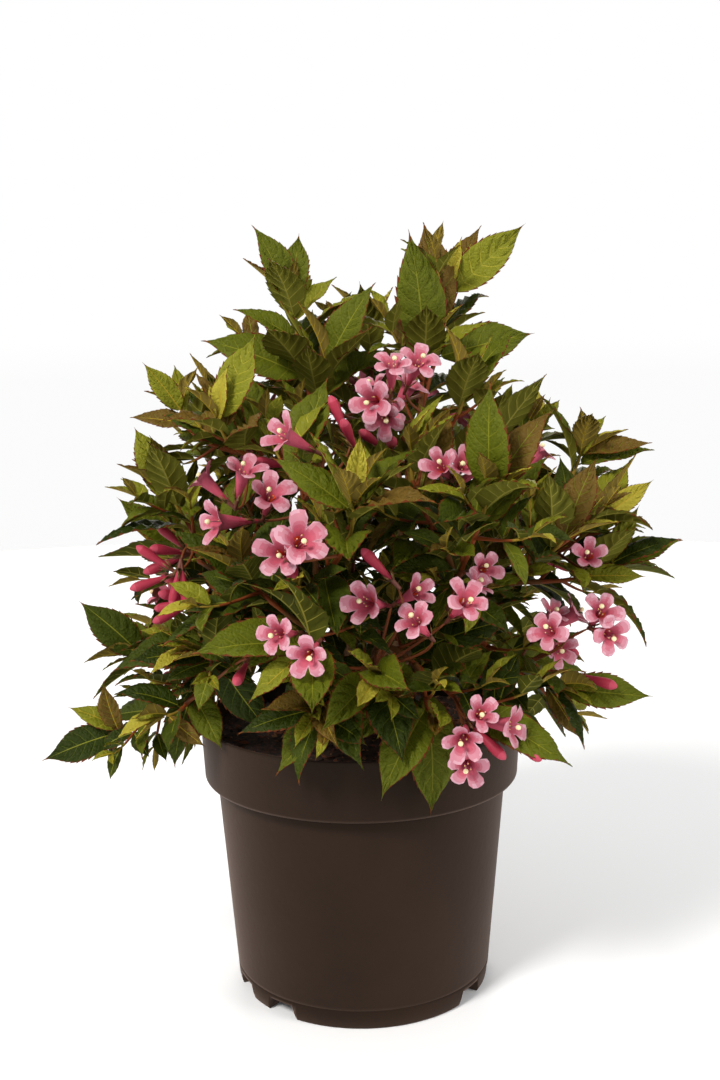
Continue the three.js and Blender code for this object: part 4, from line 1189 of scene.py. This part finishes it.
# Each kind of limb: steps along it, sides, and the slots from its foot to its tip.
TWIG = dict(steps=26, sides=8, slots=(0, 0, 1, 1, 2))
SIDE_TWIG = dict(steps=6, sides=6, slots=(1, 2))
STALK = dict(steps=8, sides=6, slots=(3,))
TWIG_RADII, STALK_RADII = (0.95, 0.8), (0.95, 0.75)
LIMB = dict(flare=0.4, flare_length=3, swelling=0.28, swelling_steps=0.8, end=0.45, root_depth=4)


def add_limb(heap, path, radii, kind, knots=(), root=None):
    """Adds a smooth limb along a path's curve: flared at its foot, swollen at its knots, closed at its tip.

    The knots are shares of its length; root is a point inside its parent that it starts from.
    """
    steps = kind["steps"]
    fine = path_along(path["curve"], steps, path["turn"])
    shares = np.arange(steps + 1) / steps
    radii = radii[0] + (radii[1] - radii[0]) * shares
    radii = radii * (1 + LIMB["flare"] * np.exp(-shares * length_of(path) / LIMB["flare_length"]))
    for knot in knots:
        away = (shares - knot) * steps / LIMB["swelling_steps"]
        radii = radii * (1 + LIMB["swelling"] * np.exp(-(away**2)))
    radii[-1] *= LIMB["end"]
    if root is not None:
        fine = {key: [fine[key][0], *fine[key]] for key in ("points", "along", "across")}
        fine["points"][0], radii = root, [radii[0], *radii]
    heap.add_tube(fine, radii, kind["sides"], kind["slots"], len(radii))


def make_twigs(mass, shoots, sides, trusses):
    heap = Heap()
    for shoot in shoots:
        bough, length = shoot["bough"], length_of(shoot["path"])
        root = bough["points"][-1] - bough["along"][-1] * LIMB["root_depth"] if bough else None
        backs = np.cumsum([spacing for _, _, spacing in (*LEAF["pairs"], *LOWER_PAIRS[:2])])
        knots = [1 - back / length for back in backs if back < length]
        add_limb(heap, shoot["path"], (shoot["base"] * TWIG_RADII[0], TWIG_RADII[1]), TWIG, knots, root)
    for side in sides:
        add_limb(heap, side["path"], SIDE["radii"], SIDE_TWIG)
    for truss in trusses:
        add_limb(heap, truss["path"], STALK_RADII, STALK)
    return heap.piece(f"twigs_{mass}", TWIG_MATERIALS)


# ---------------------------------------------------------------- blossom

SMOOTH = dict(bump=(1200, 0.3))
PETAL = dict(SMOOTH, Specular_IOR_Level=0.2)
BLOOM_LOOKS = dict(
    petal_palest=((190, 144, 157), 0.6, PETAL),
    petal_pale=((180, 118, 133), 0.6, PETAL),
    petal_pink=((173, 94, 111), 0.6, PETAL),
    petal_rose=((169, 78, 97), 0.6, PETAL),
    petal_deep=((178, 78, 98), 0.6, PETAL),
    petal_throat=((182, 68, 86), 0.6, PETAL),
    petal_heart=((196, 70, 36), 0.6, PETAL),
    petal_tube=((176, 70, 91), 0.55, PETAL),
    petal_tube_deep=((150, 42, 60), 0.55, PETAL),
    bud_pink=((152, 42, 62), 0.5, PETAL),
    bud_tip=((168, 62, 82), 0.5, PETAL),
    calyx=((96, 46, 32), 0.6, SMOOTH),
    sepal=((112, 80, 36), 0.6, SMOOTH),
    stigma=((226, 212, 166), 0.5, SMOOTH),
    anther=((216, 178, 116), 0.6, SMOOTH),
)
BLOOM_MATERIALS = palette(BLOOM_LOOKS)
BLOOM_ORDER = list(BLOOM_LOOKS)
INSIDE = BLOOM_ORDER[: BLOOM_ORDER.index("petal_heart")]
OUTSIDE = ("petal_tube_deep", "petal_tube", "petal_deep", "petal_rose", "petal_pink", "petal_pink")
# Points across a lobe, from one gap (-1) to the next (1): close together at the gaps, which are narrow.
ACROSS_LOBE = (-0.97, -0.76, -0.46, -0.15, 0.15, 0.46, 0.76, 0.97)
AROUND_LOBE = len(ACROSS_LOBE)
AROUND = LOBES * AROUND_LOBE
# Turned forms, from foot to tip: the share of the flower's length, and the radius.
TUBE_RINGS = ((0.12, 1.1), (0.24, 1.35), (0.35, 1.95), (0.46, 2.8), (0.57, 3.6), (0.67, 4.2), (0.75, 4.7))
THROAT_RINGS = ((0.52, 0.4), (0.61, 1.9), (0.68, 3.3), (0.75, 4.5))
STYLE = ((0.5, 0.25), (0.84, 0.3), (0.855, 0.9), (0.875, 1.3), (0.9, 1.3), (0.92, 0.85), (0.928, 0.1))
OVARY = ((0, 0.75), (0.06, 1.0), (0.16, 1.2), (0.22, 1.45), (0.27, 1.1))
BUD_RINGS = (
    (0.14, 1.0), (0.3, 1.3), (0.45, 1.75), (0.58, 2.3), (0.7, 2.7), (0.8, 2.85), (0.88, 2.55), (0.94, 1.85),
    (0.98, 0.95), (0.997, 0.2),
)
LOBE_RINGS = 6
LOBE = dict(
    length=10.8, gap=0.5, sizes=(0.82, 1.0), starts=0.5, ends=(1.0, 1.9), ends_vary=0.95, middle_lean=0.6,
    ruffle=(0.2, 0.6), uneven=0.7, cup=(-0.9, 1.6), lower=1.12, tilt=1.1, keel=0.7, roundness=(3, 0.78),
    phases=6,
)
SKIN = dict(thickness=0.25, drop=0.3)
SIZE_HERE = (0.77, 0.98)
# How the shades run: deepest at the throat, with streaks from there on out and small changes on top.
SHADE = dict(
    throat=4.8, per_ring=0.6, foot=3.3, middle=0.9, edge=0.25, outside=0.45, streaks=0.8, grain=0.4,
    fade=1.6,
)
DEEP_THROAT, HEART_RINGS = 2, 2
STAMEN = dict(tips=(0.68, 0.82), foot=(0.5, 0.14), turns=(0.2, 0.8), stand=0.9, leans=(0.02, 0.07), sides=5)
# Rings from a stamen's tip on: the step from it, as a share of the flower's length, and the radius.
ANTHER = ((-0.07, 0.14), (-0.06, 0.3), (0, 0.42), (0.02, 0.1))
STYLE_LEAN = dict(down=(0.03, 0.06), aside=0.06, sides=9)
# A sepal's corners at its foot and its knee: place on the flower, distance out, half width, thickness.
SEPAL_FOOT = dict(share=0.2, out=1.2, half=0.7, deep=0.5, back=1)
SEPAL_KNEE = dict(share=0.3, out=2.9, half=0.65, deep=0.35, back=0)
SEPAL_TIP = dict(share=0.42, out=4.4)
SEPAL_TURN, OVARY_SIDES, BUD_SIDES = 0.3, 8, 12
SEPAL_FACES = (
    (0, 2, 1), (0, 1, 4), (0, 4, 3), (1, 2, 5), (1, 5, 4), (2, 0, 3), (2, 3, 5), (3, 4, 6), (4, 5, 6),
    (5, 3, 6),
)


def lobes(draw):
    """A flower's lobes, for one of size 1: the turns, and each ring's radii and distances from the foot."""
    within, lobe_of = np.tile(ACROSS_LOBE, LOBES), np.arange(AROUND) // AROUND_LOBE
    turns = FULL_TURN / LOBES * (lobe_of + (within + 1) / 2)

    def each_lobe(value):
        return np.array([value() for _ in range(LOBES)])[lobe_of]

    sizes = each_lobe(lambda: between(LOBE["sizes"], draw)) * np.where(lobe_of == 0, LOBE["lower"], 1)
    openness = between(LOBE["ends"], draw)
    ends = each_lobe(lambda: openness + LOBE["ends_vary"] * (draw() - 0.5))
    cup = each_lobe(lambda: between(LOBE["cup"], draw))
    tilt = each_lobe(lambda: LOBE["tilt"] * (draw() - 0.5))
    round_edge = (1 - np.abs(within) ** LOBE["roundness"][0]) ** LOBE["roundness"][1]
    reach = LOBE["gap"] + (LOBE["length"] * sizes - LOBE["gap"]) * round_edge
    ruffle, phase = between(LOBE["ruffle"], draw), LOBE["phases"] * draw()
    rings = np.arange(1, LOBE_RINGS + 1)[:, None]
    middle_lean = LOBE["middle_lean"]
    lean = (ends - LOBE["starts"]) * (rings - 0.5) / LOBE_RINGS * (1 - middle_lean + middle_lean * round_edge)
    lean, shares = LOBE["starts"] + lean, rings / LOBE_RINGS
    foot, mouth = TUBE_RINGS[-1]
    radii = mouth + np.cumsum(reach / LOBE_RINGS * np.sin(lean), axis=0)
    heights = foot * BLOOM["length"] + np.cumsum(reach / LOBE_RINGS * np.cos(lean), axis=0)
    ripple = np.sin(2 * turns * LOBES + phase + LOBE["uneven"] * np.sin(3 * turns))
    heights += ruffle * shares**2 * ripple
    heights += shares * (cup * within**2 + tilt * within - LOBE["keel"] * np.cos(within * math.pi / 2))
    return turns, radii, np.minimum(heights, BLOOM["length"]), within


def nearest(shades, number, least=0):
    return shades[int(min(max(round(number), least), len(shades) - 1))]


def inside_shade(ring, column, within, streak):
    """The shade of the inside: deep in the throat, paler out along a lobe, and a red-orange heart below."""
    lobe_ring = ring - len(THROAT_RINGS) + 1
    if lobe_ring >= 0:
        out = (lobe_ring + 0.5) / LOBE_RINGS
        shade = SHADE["foot"] * (1 - out) ** SHADE["fade"] + SHADE["middle"] * (1 - abs(within)) * (1 - out)
        return nearest(INSIDE, shade + SHADE["edge"] + streak)
    if ring < HEART_RINGS and column < AROUND_LOBE:
        return "petal_heart"
    return nearest(INSIDE, SHADE["throat"] - SHADE["per_ring"] * ring + streak, DEEP_THROAT)


def add_flower(heap, flower, draw):
    """A trumpet flower: corolla of two layers, calyx, style and stamens."""
    size, axis, across = flower["size"] * between(SIZE_HERE, draw), flower["direction"], flower["across"]
    length = BLOOM["length"]
    turns, radii, heights, within = lobes(draw)
    sideways = across * np.cos(turns)[:, None] + np.cross(axis, across) * np.sin(turns)[:, None]

    def layer(profile, lobe_radii, lobe_heights):
        shares, widths = (np.outer(part, np.ones(AROUND)) for part in zip(*profile))
        out, ahead = np.concatenate([widths, lobe_radii]), np.concatenate([shares * length, lobe_heights])
        return flower["root"] + size * (sideways * out[..., None] + axis * ahead[..., None])

    inner = layer(THROAT_RINGS, radii, heights)
    outer = layer(TUBE_RINGS, radii + SKIN["thickness"], heights - SKIN["drop"])
    outer[-1] = inner[-1]
    streaks = [SHADE["streaks"] * (draw() - 0.5) for _ in range(AROUND)]
    slots = []
    for i in range(len(inner) - 1):
        for k, streak in enumerate(streaks):
            slots += [inside_shade(i, k, within[k], streak + SHADE["grain"] * (draw() - 0.5))] * 2
    for i in range(len(outer) - 1):
        for streak in streaks:
            slots += [nearest(OUTSIDE, i * SHADE["outside"] + streak + SHADE["grain"] * (draw() - 0.5))] * 2
    triangles = [ring_walls(len(inner), AROUND)[:, ::-1], ring_walls(len(outer), AROUND, len(inner) * AROUND)]
    points = np.concatenate([inner.reshape(-1, 3), outer.reshape(-1, 3)])
    heap.add(points, np.concatenate(triangles), [BLOOM_ORDER.index(slot) for slot in slots])
    add_calyx(heap, flower["root"], axis, across, length * size)
    add_middle(heap, flower["root"], axis, across, length * size, draw)


def add_middle(heap, root, axis, across, length, draw):
    """The style with its cream stigma, and a few stamens round it."""
    other = np.cross(axis, across)
    down = between(STYLE_LEAN["down"], draw)
    lean = unit(axis - across * down + other * STYLE_LEAN["aside"] * (draw() - 0.5))
    style = ["petal_palest", "stigma", "stigma"]
    add_rod(heap, root, lean, across, STYLE, length, style, STYLE_LEAN["sides"])
    for k in range(LOBES - 1):
        away = swung(across, other, FULL_TURN * (k + between(STAMEN["turns"], draw)) / LOBES)
        tip = between(STAMEN["tips"], draw)
        rings = [STAMEN["foot"], *((tip + step, radius) for step, radius in ANTHER)]
        leaning, foot = unit(axis + away * between(STAMEN["leans"], draw)), root + away * STAMEN["stand"]
        stamen = ["petal_pale", "petal_pale", "anther"]
        add_rod(heap, foot, leaning, across, rings, length, stamen, STAMEN["sides"])


def add_rod(heap, root, axis, across, profile, length, slots, sides):
    """A turned piece on an axis, from (share of the length, radius) pairs; slots run from foot to tip."""
    count = len(profile)
    points = [root + axis * share * length for share, _ in profile]
    path = dict(points=points, along=[axis] * count, across=[across] * count)
    numbers = [BLOOM_ORDER.index(slot) for slot in slots]
    heap.add_tube(path, [radius for _, radius in profile], sides, numbers, count - 1)


def add_calyx(heap, root, axis, across, length):
    """The thin ovary, and five narrow sepals that lie along the foot of the corolla."""
    add_rod(heap, root, axis, across, OVARY, length, ["calyx"], OVARY_SIDES)
    for k in range(LOBES):
        away = swung(across, np.cross(axis, across), FULL_TURN * (k + SEPAL_TURN) / LOBES)
        level, corners = np.cross(axis, away), []
        for part in (SEPAL_FOOT, SEPAL_KNEE):
            middle = root + axis * part["share"] * length + away * part["out"]
            corners += [middle + level * part["half"], middle - level * part["half"]]
            corners.append(middle - away * part["deep"] - axis * part["back"])
        corners.append(root + axis * SEPAL_TIP["share"] * length + away * SEPAL_TIP["out"])
        heap.add(corners, SEPAL_FACES, BLOOM_ORDER.index("sepal"))


def add_bud(heap, flower):
    """A closed club-shaped bud on its calyx."""
    size, where = flower["size"], (flower["root"], flower["direction"], flower["across"])
    length, rings = BUD["length"] * size, [(share, radius * size) for share, radius in BUD_RINGS]
    add_rod(heap, *where, rings, length, ["bud_pink", "bud_pink", "bud_tip"], BUD_SIDES)
    add_calyx(heap, *where, length)


def make_blossom(mass, trusses):
    heap, draw = Heap(), stream("blossom", len(mass))
    for flower in (flower for truss in trusses for flower in truss["flowers"]):
        if flower["kind"] == "bloom":
            add_flower(heap, flower, draw)
        else:
            add_bud(heap, flower)
    return heap.piece(f"blossom_{mass}", BLOOM_MATERIALS) if heap.count else None


# ---------------------------------------------------------------- wood

BARK = mottle(
    material("bark", (120, 92, 64), 0.8, (700, 0.8)), (74, 52, 36), (150, 112, 76), 240, stretch=(1, 1, 0.25),
)
BARK_BOUGH = dict(
    steps=44, sides=18, inset=0.35, relief=0.22, swelling=0.06, swellings=23, end=0.07, closing=0.6,
)
BARK_STEM = dict(steps=21, sides=40, inset=0.3, relief=0.5, most=0.3)
RIDGES = dict(count=5, bend=2.5, bend_scale=0.05, height=0.5)
GRAIN_SCALE = 0.6


def bark_relief(point, angle, strength):
    """How far the bark stands out: ridges along the limb, and finer grain."""
    bend = RIDGES["bend"] * noise.noise(Vector(point) * RIDGES["bend_scale"])
    ridge = RIDGES["height"] * math.sin(angle * RIDGES["count"] + bend)
    return strength * (ridge + noise.noise(Vector(point) * GRAIN_SCALE))


def barked(name, path, radii, look, first=0, most=math.inf):
    """A tube whose rings, from the first one named, stand out and in by the relief of the bark."""
    sides = look["sides"]
    corners, triangles = tube_mesh(path, radii, sides)
    for i in range(first, len(radii)):
        for k in range(sides):
            corner = corners[i * sides + k]
            relief = bark_relief(corner, FULL_TURN * k / sides, look["relief"])
            corner += unit(corner - path["points"][i]) * min(most, relief)
    return single_piece("bark_" + name, corners, triangles, BARK)


def make_bough(name, limb):
    """A bough with ridged bark; it starts inside the stem and ends where its twigs begin."""
    look, (base, tip) = BARK_BOUGH, BOUGH["radii"]
    shares = np.arange(look["steps"] + 1) / look["steps"]
    closing = np.clip((shares - 1 + look["end"]) / look["end"], 0, 1)
    radii = base + (tip - base) * shares - look["inset"]
    radii = radii * (1 - look["swelling"] * np.sin(shares * look["swellings"]))
    radii = radii * (1 - look["closing"] * closing**2)
    return barked(name, path_along(limb["curve"], look["steps"]), radii, look)


def make_stem():
    """The short stem: it leans, flares out at its foot and carries the same bark."""
    look, (widths, heights) = BARK_STEM, zip(*STEM["profile"])
    shares = np.linspace(0, 1, look["steps"] + 1)
    radii = np.interp(shares, heights, widths) - look["inset"]
    points = [STEM_FOOT + (UP * STEM["height"] + vec(*STEM["lean"])) * share for share in shares]
    path = dict(points=points, along=[UP] * len(points), across=[vec(1, 0, 0)] * len(points))
    return barked("stem", path, radii, look, 1, look["most"])


# ---------------------------------------------------------------- pot

POT_PLASTIC = mottle(
    material(
        "pot_plastic", (30, 22, 17), 0.48, (260, 0.25),
        Specular_IOR_Level=0.04, Specular_Tint=(1, 0.8, 0.68, 1),
        Sheen_Weight=0.14, Sheen_Roughness=0.56, Sheen_Tint=(1, 0.66, 0.52, 1),
    ),
    (26, 19, 14), (33, 24, 18), 18, 3.0, (0.3, 0.75),
)
POT_SIDES = 192
# The fine line moulded round the body, above the notches.
MOULDED_LINE = dict(above_notch=2.5, half=0.3, depth=0.4, reach=0.9, edge=0.05, clear=2.2)


def rounded(profile, steps=4):
    """A profile of (radius, height, rounding) corners with each corner rounded off."""
    points = []
    for i, (radius, height, rounding) in enumerate(profile):
        here = vec(radius, height)
        if not rounding:
            points.append(here)
            continue
        before, after = vec(*profile[i - 1][:2]), vec(*profile[i + 1][:2])
        start, end = (here + unit(there - here) * rounding for there in (before, after))
        for t in np.arange(steps + 1) / steps:
            points.append(start * (1 - t) ** 2 + here * (2 * t * (1 - t)) + end * t**2)
    return points


def turned_piece(name, profile, sides, finish, surface=None):
    """A closed turned body about +Z whose profile starts and ends on the axis.

    Where a ring has no height, surface(x, y) gives each of its points one.
    """
    points = []
    for radius, height in profile[1:-1]:
        for turn in FULL_TURN * np.arange(sides) / sides:
            x, y = radius * math.cos(turn), radius * math.sin(turn)
            points.append((x, y, surface(x, y) if height is None else height))
    points += [(0, 0, profile[0][1]), (0, 0, profile[-1][1])]
    return single_piece(name, points, closed_walls(len(profile) - 2, sides), finish)


def make_pot():
    """The pot: a hollow body with a wide collar, on a notched foot ring with a fine moulded line."""
    foot, shoulder, collar, rim = (POT[key] for key in ("foot", "shoulder", "collar", "rim"))
    floor, wall, under, height = (POT[key] for key in ("floor", "wall", "collar_bottom", "height"))
    inner_foot = foot - POT["foot_width"]
    line = NOTCH["height"] + MOULDED_LINE["above_notch"]
    half, depth = MOULDED_LINE["half"], MOULDED_LINE["depth"]

    def on_body(at):
        return foot + (shoulder - foot) / under * at

    def on_collar(above, rounding):
        return (collar + (rim - collar) / (height - under) * above, under + above, rounding)

    def beside_line(off):
        return (on_body(line + off), line + off, 0)

    # Corners as (radius, height, rounding): up the outside, over the rim and down the inside.
    profile = [
        (0, floor, 0),
        (inner_foot, floor, 0),
        (inner_foot + 1, 0.0, 0.6),
        (foot - 0.6, 0.0, 1.2),
        (on_body(4), 4, 0),
        (on_body(line) - MOULDED_LINE["edge"], line - MOULDED_LINE["reach"], 0),
        (on_body(line) - depth, line - half, 0.2),
        (on_body(line) - depth, line + half, 0.2),
        beside_line(MOULDED_LINE["reach"]),
        beside_line(MOULDED_LINE["clear"]),
        (on_body(under - 1.5), under - 1.5, 0),
        (shoulder, under + 0.4, 0.5),
        (collar - 1, under, 0.4),
        on_collar(1.4, 0.6),
        on_collar(3.5, 0),
        on_collar(height - under - 3, 0),
        (rim, height - 0.2, 0.9),
        (rim - POT["rim_width"], height, 0.7),
        (collar - wall, POT["step_top"], 0),
        (shoulder - wall, POT["step_bottom"], 0),
        (foot - wall + POT["wall_slant"], POT["floor_top"], 2),
        (0, POT["floor_top"], 0),
    ]
    pot = turned_piece("nursery_pot", rounded(profile), POT_SIDES, POT_PLASTIC)
    cut_notches(pot)
    return pot


# The faces of a box with corners 0 to 3 near and 4 to 7 far, both counter-clockwise from afar.
BOX_QUADS = ((0, 3, 2, 1), (4, 5, 6, 7), (0, 1, 5, 4), (1, 2, 6, 5), (2, 3, 7, 6), (3, 0, 4, 7))
BOX = [face for a, b, c, d in BOX_QUADS for face in ((a, b, c), (a, c, d))]


def cut_notches(pot):
    """Cuts the sloping wedges out of the foot ring."""
    heap, depth = Heap(), POT["foot_width"]
    mouth, crown, top = NOTCH["mouth"] / 2, NOTCH["crown"] / 2, NOTCH["height"]
    wedge = ((-mouth, -1), (mouth, -1), (crown, top), (-crown, top))
    for turn in NOTCH["pair_turns"]:
        for hand in (-1, 1):
            bearing = NOTCH["pair_at"] + turn + hand * NOTCH["pair_spread"]
            out, level = heading(bearing, 0), heading(bearing + 90, 0)
            corners = [
                out * reach + level * half + UP * height
                for reach in (POT["foot"] - 1.5 * depth, POT["foot"] + 0.5 * depth)
                for half, height in wedge
            ]
            heap.add(corners, BOX, 0)
    cutter = heap.piece("notch_cutter", [])
    cut = pot.modifiers.new("notches", "BOOLEAN")
    cut.object, cut.operation, cut.solver = cutter, "DIFFERENCE", "EXACT"
    apply_modifiers(pot)
    bpy.data.objects.remove(cutter)


def apply_modifiers(made):
    """Replaces an object's mesh with what its modifiers make of it."""
    graph = bpy.context.evaluated_depsgraph_get()
    mesh = bpy.data.meshes.new_from_object(made.evaluated_get(graph))
    made.modifiers.clear()
    made.data = mesh


# ---------------------------------------------------------------- soil

PEAT = mottle(material("peat", (40, 25, 17), 0.95, (500, 1.0)), (18, 11, 8), (74, 42, 26), 330)
CHIP_MATERIALS = [
    material("bark_chip_red", (104, 58, 36), 0.9, (500, 0.8)),
    material("bark_chip_dark", (44, 28, 20), 0.95, (500, 0.8)),
    material("bark_chip_tan", (132, 92, 58), 0.9, (500, 0.8)),
]
SOIL_SIDES, SOIL_RINGS = 144, 30
# Waves of the soil's surface: how close together, how high, and the height of the noise they are cut from.
CLODS = ((0.06, 1.4, 0), (0.25, 0.9, 9))
SOIL_SINK, STEM_ROOM, STEM_FADE = 0.9, 14, 8
CHIPS = dict(
    count=1500, spread=88, least=0.5, larger=2.3, uneven=0.5, tilt=0.8, from_stem=17, from_wall=2,
    lift=0.25, red=0.5, dark=0.85, lengths=(0.7, 1.7), widths=(0.5, 1.0), heights=(0.3, 0.6),
)
OCTAHEDRON = np.array([(1, 0, 0), (0, 1, 0), (-1, 0, 0), (0, -1, 0), (0, 0, 1), (0, 0, -1)], float)
OCTAHEDRON_FACES = [(0, 1, 4), (1, 2, 4), (2, 3, 4), (3, 0, 4), (1, 0, 5), (2, 1, 5), (3, 2, 5), (0, 3, 5)]


def soil_height(x, y):
    """The soil's surface, low at the pot's wall, with clods and hollows."""
    radius = math.hypot(x, y)
    share = min(max((radius - SOIL["flat"]) / (POT["rim"] - SOIL["flat"]), 0), 1)
    slope = SOIL["top"] + (SOIL["edge"] - SOIL["top"]) * share
    rough = sum(noise.noise(Vector((x, y, at)) * scale) * high for scale, high, at in CLODS)
    return slope - SOIL_SINK + rough * min(max((radius - STEM_ROOM) / STEM_FADE, 0), 1)


def soil_edge(height):
    """The radius of the soil's side at a height, just inside the pot's wall."""
    if height > POT["step_bottom"]:
        low, high = (POT["collar"], POT["step_top"]), (POT["rim"], POT["height"])
    else:
        low, high = (POT["foot"] + POT["wall_slant"], POT["floor_top"]), (POT["shoulder"], POT["step_bottom"])
    share = (height - low[1]) / (high[1] - low[1])
    return low[0] + (high[0] - low[0]) * share - POT["wall"] - 2 * GAP


def make_soil():
    """The body of the soil: its sides follow the pot's wall and its top is rough."""
    bottom, step = POT["floor_top"] + GAP, POT["step_top"] + GAP
    narrow, edge = soil_edge(POT["collar_bottom"]), soil_edge(SOIL["edge"] - 1)
    wall = [(soil_edge(bottom), bottom), (narrow, POT["collar_bottom"])]
    wall += [(narrow, step), (soil_edge(step), step)]
    top = [(edge * (1 - i / SOIL_RINGS), None) for i in range(SOIL_RINGS)]
    profile = [(0, bottom), *wall, *top, (0, SOIL["top"] - 1)]
    return turned_piece("peat", profile, SOIL_SIDES, PEAT, soil_height)


def make_chips():
    """Chips of bark and clods of peat strewn over the soil."""
    heap, draw = Heap(), stream("chips")
    for _ in range(CHIPS["count"]):
        radius, bearing = CHIPS["spread"] * math.sqrt(draw()), FULL_TURN * draw()
        size = CHIPS["least"] + CHIPS["larger"] * draw() ** 3
        x, y = radius * math.cos(bearing), radius * math.sin(bearing)
        scale = size * vec(*(between(CHIPS[way], draw) for way in ("lengths", "widths", "heights")))
        uneven = np.array([draw() - 0.5 for _ in range(OCTAHEDRON.size)]).reshape(OCTAHEDRON.shape)
        shape = OCTAHEDRON * scale + uneven * size * CHIPS["uneven"]
        turn = Matrix.Rotation(ABOUT_A_TURN * draw(), 3, "Z")
        tilt = Matrix.Rotation(CHIPS["tilt"] * (draw() - 0.5), 3, "X")
        shape = shape @ np.array(turn @ tilt).T
        chance = draw()
        if radius < CHIPS["from_stem"] or radius + size > soil_edge(SOIL["edge"]) - CHIPS["from_wall"]:
            continue
        slot = 0 if chance < CHIPS["red"] else 1 if chance < CHIPS["dark"] else 2
        heap.add(shape + vec(x, y, soil_height(x, y) + CHIPS["lift"]), OCTAHEDRON_FACES, slot)
    made = heap.piece("bark_chips", CHIP_MATERIALS)
    made.data.polygons.foreach_set("use_smooth", np.zeros(len(made.data.polygons), bool))
    return made


# ---------------------------------------------------------------- stage

CAMERA = dict(distance=700, height=358.6, pitch=7.70, yaw=0.076, roll=-0.70, lens=40.087)
# Each light: where it stands and how wide it is, in metres, and its power.
LIGHTS = dict(
    key=((-1.2, -1.5, 1.9), 0.7, 62), fill=((1.6, -0.9, 1.0), 0.9, 16), back=((0.0, 2.0, 1.3), 1.4, 22),
)
LIGHT_COLOUR, LIT_POINT = (1, 0.95, 0.88), (0, 0, 0.25)
FLOOR = dict(radius=2000, sides=96)
# The room's grey from straight down (0) to straight up (1).
ROOM_SHADES = (
    (0.0, (0.97, 0.97, 0.97, 1)), (0.03, (1, 1, 1, 1)), (0.4, (1, 1, 1, 1)), (0.6, (0.3, 0.3, 0.29, 1)),
)


def make_camera():
    data = bpy.data.cameras.new("camera")
    data.lens, data.clip_start = CAMERA["lens"], 0.01
    camera = put("camera", data)
    pitch, yaw = CAMERA["pitch"] * RADIANS, CAMERA["yaw"] * RADIANS
    forward = Vector((math.sin(yaw) * math.cos(pitch), math.cos(yaw) * math.cos(pitch), -math.sin(pitch)))
    right = forward.cross(Vector((0, 0, 1))).normalized()
    above = right.cross(forward)
    roll = Matrix.Rotation(-CAMERA["roll"] * RADIANS, 3, forward)
    matrix = Matrix((roll @ right, roll @ above, -forward)).transposed().to_4x4()
    matrix.translation = Vector((0, -CAMERA["distance"], CAMERA["height"])) * MM
    camera.matrix_world = matrix
    bpy.context.scene.camera = camera


def make_light(name, where, size, power):
    data = bpy.data.lights.new(name, "AREA")
    data.shape, data.size, data.energy, data.color = "DISK", size, power, LIGHT_COLOUR
    light = put(name, data)
    light.location = where
    light.rotation_euler = (Vector(LIT_POINT) - light.location).to_track_quat("-Z", "Y").to_euler()


def make_stage():
    """A pale floor, a white room and soft lights."""
    finish, sides = material("floor_pale", (247, 250, 255), 0.8, (40, 0.05)), FLOOR["sides"]
    rim = [heading(360 * k / sides, 0) * FLOOR["radius"] for k in range(sides)]
    triangles = [(k, (k + 1) % sides, sides) for k in range(sides)]
    single_piece("floor", [*rim, vec(0, 0, 0)], triangles, finish)
    bpy.context.scene.world = make_room()
    for name, light in LIGHTS.items():
        make_light(name, *light)
    bpy.context.scene.view_settings.view_transform = "Standard"


def make_room():
    """White walls all round: as bright as the floor where they meet it, and darker towards the ceiling."""
    world = bpy.data.worlds.new("room")
    world.use_nodes = True
    nodes, links = world.node_tree.nodes, world.node_tree.links
    where, parts = nodes.new("ShaderNodeTexCoord"), nodes.new("ShaderNodeSeparateXYZ")
    ramp = nodes.new("ShaderNodeValToRGB")
    for _ in ROOM_SHADES[2:]:
        ramp.color_ramp.elements.new(1)
    for stop, (position, colour) in zip(ramp.color_ramp.elements, ROOM_SHADES):
        stop.position, stop.color = position, colour
    links.new(where.outputs["Generated"], parts.inputs["Vector"])
    links.new(parts.outputs["Z"], ramp.inputs["Fac"])
    links.new(ramp.outputs["Color"], nodes["Background"].inputs["Color"])
    return world


# ---------------------------------------------------------------- the scene

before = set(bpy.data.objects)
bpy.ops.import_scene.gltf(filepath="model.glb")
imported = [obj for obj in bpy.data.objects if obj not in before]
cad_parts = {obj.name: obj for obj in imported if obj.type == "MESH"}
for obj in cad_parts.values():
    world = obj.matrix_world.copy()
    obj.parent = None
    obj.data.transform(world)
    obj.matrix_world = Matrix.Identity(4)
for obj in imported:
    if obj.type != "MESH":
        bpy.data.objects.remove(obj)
cad_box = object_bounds()
CROWN_BOX = np.array(cad_box) / MM
make_camera()
make_stage()

pot = make_pot()
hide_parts("pot")
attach(pot, "root")
for ground in (make_soil(), make_chips()):
    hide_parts("soil")
    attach(ground, "root")

boughs, shoots, sides, trusses, leaves = grow()
wood = [(make_stem(), "stem")] + [(make_bough(name, limb), name) for name, limb in boughs.items()]
for piece, node in wood:
    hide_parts(node)
    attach(piece, "root")

for mass in sorted({shoot["mass"] for shoot in shoots}):
    mine = [[item for item in group if item["mass"] == mass] for group in (shoots, sides, trusses, leaves)]
    made = [
        (make_leaves(mass, mine[3]), "foliage"),
        (make_twigs(mass, mine[0], mine[1], mine[2]), "wood"),
        (make_blossom(mass, mine[2]), "blossom"),
    ]
    for piece, slot in made:
        if piece is None:
            continue
        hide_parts("foliage_" + mass)
        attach(piece, "root")
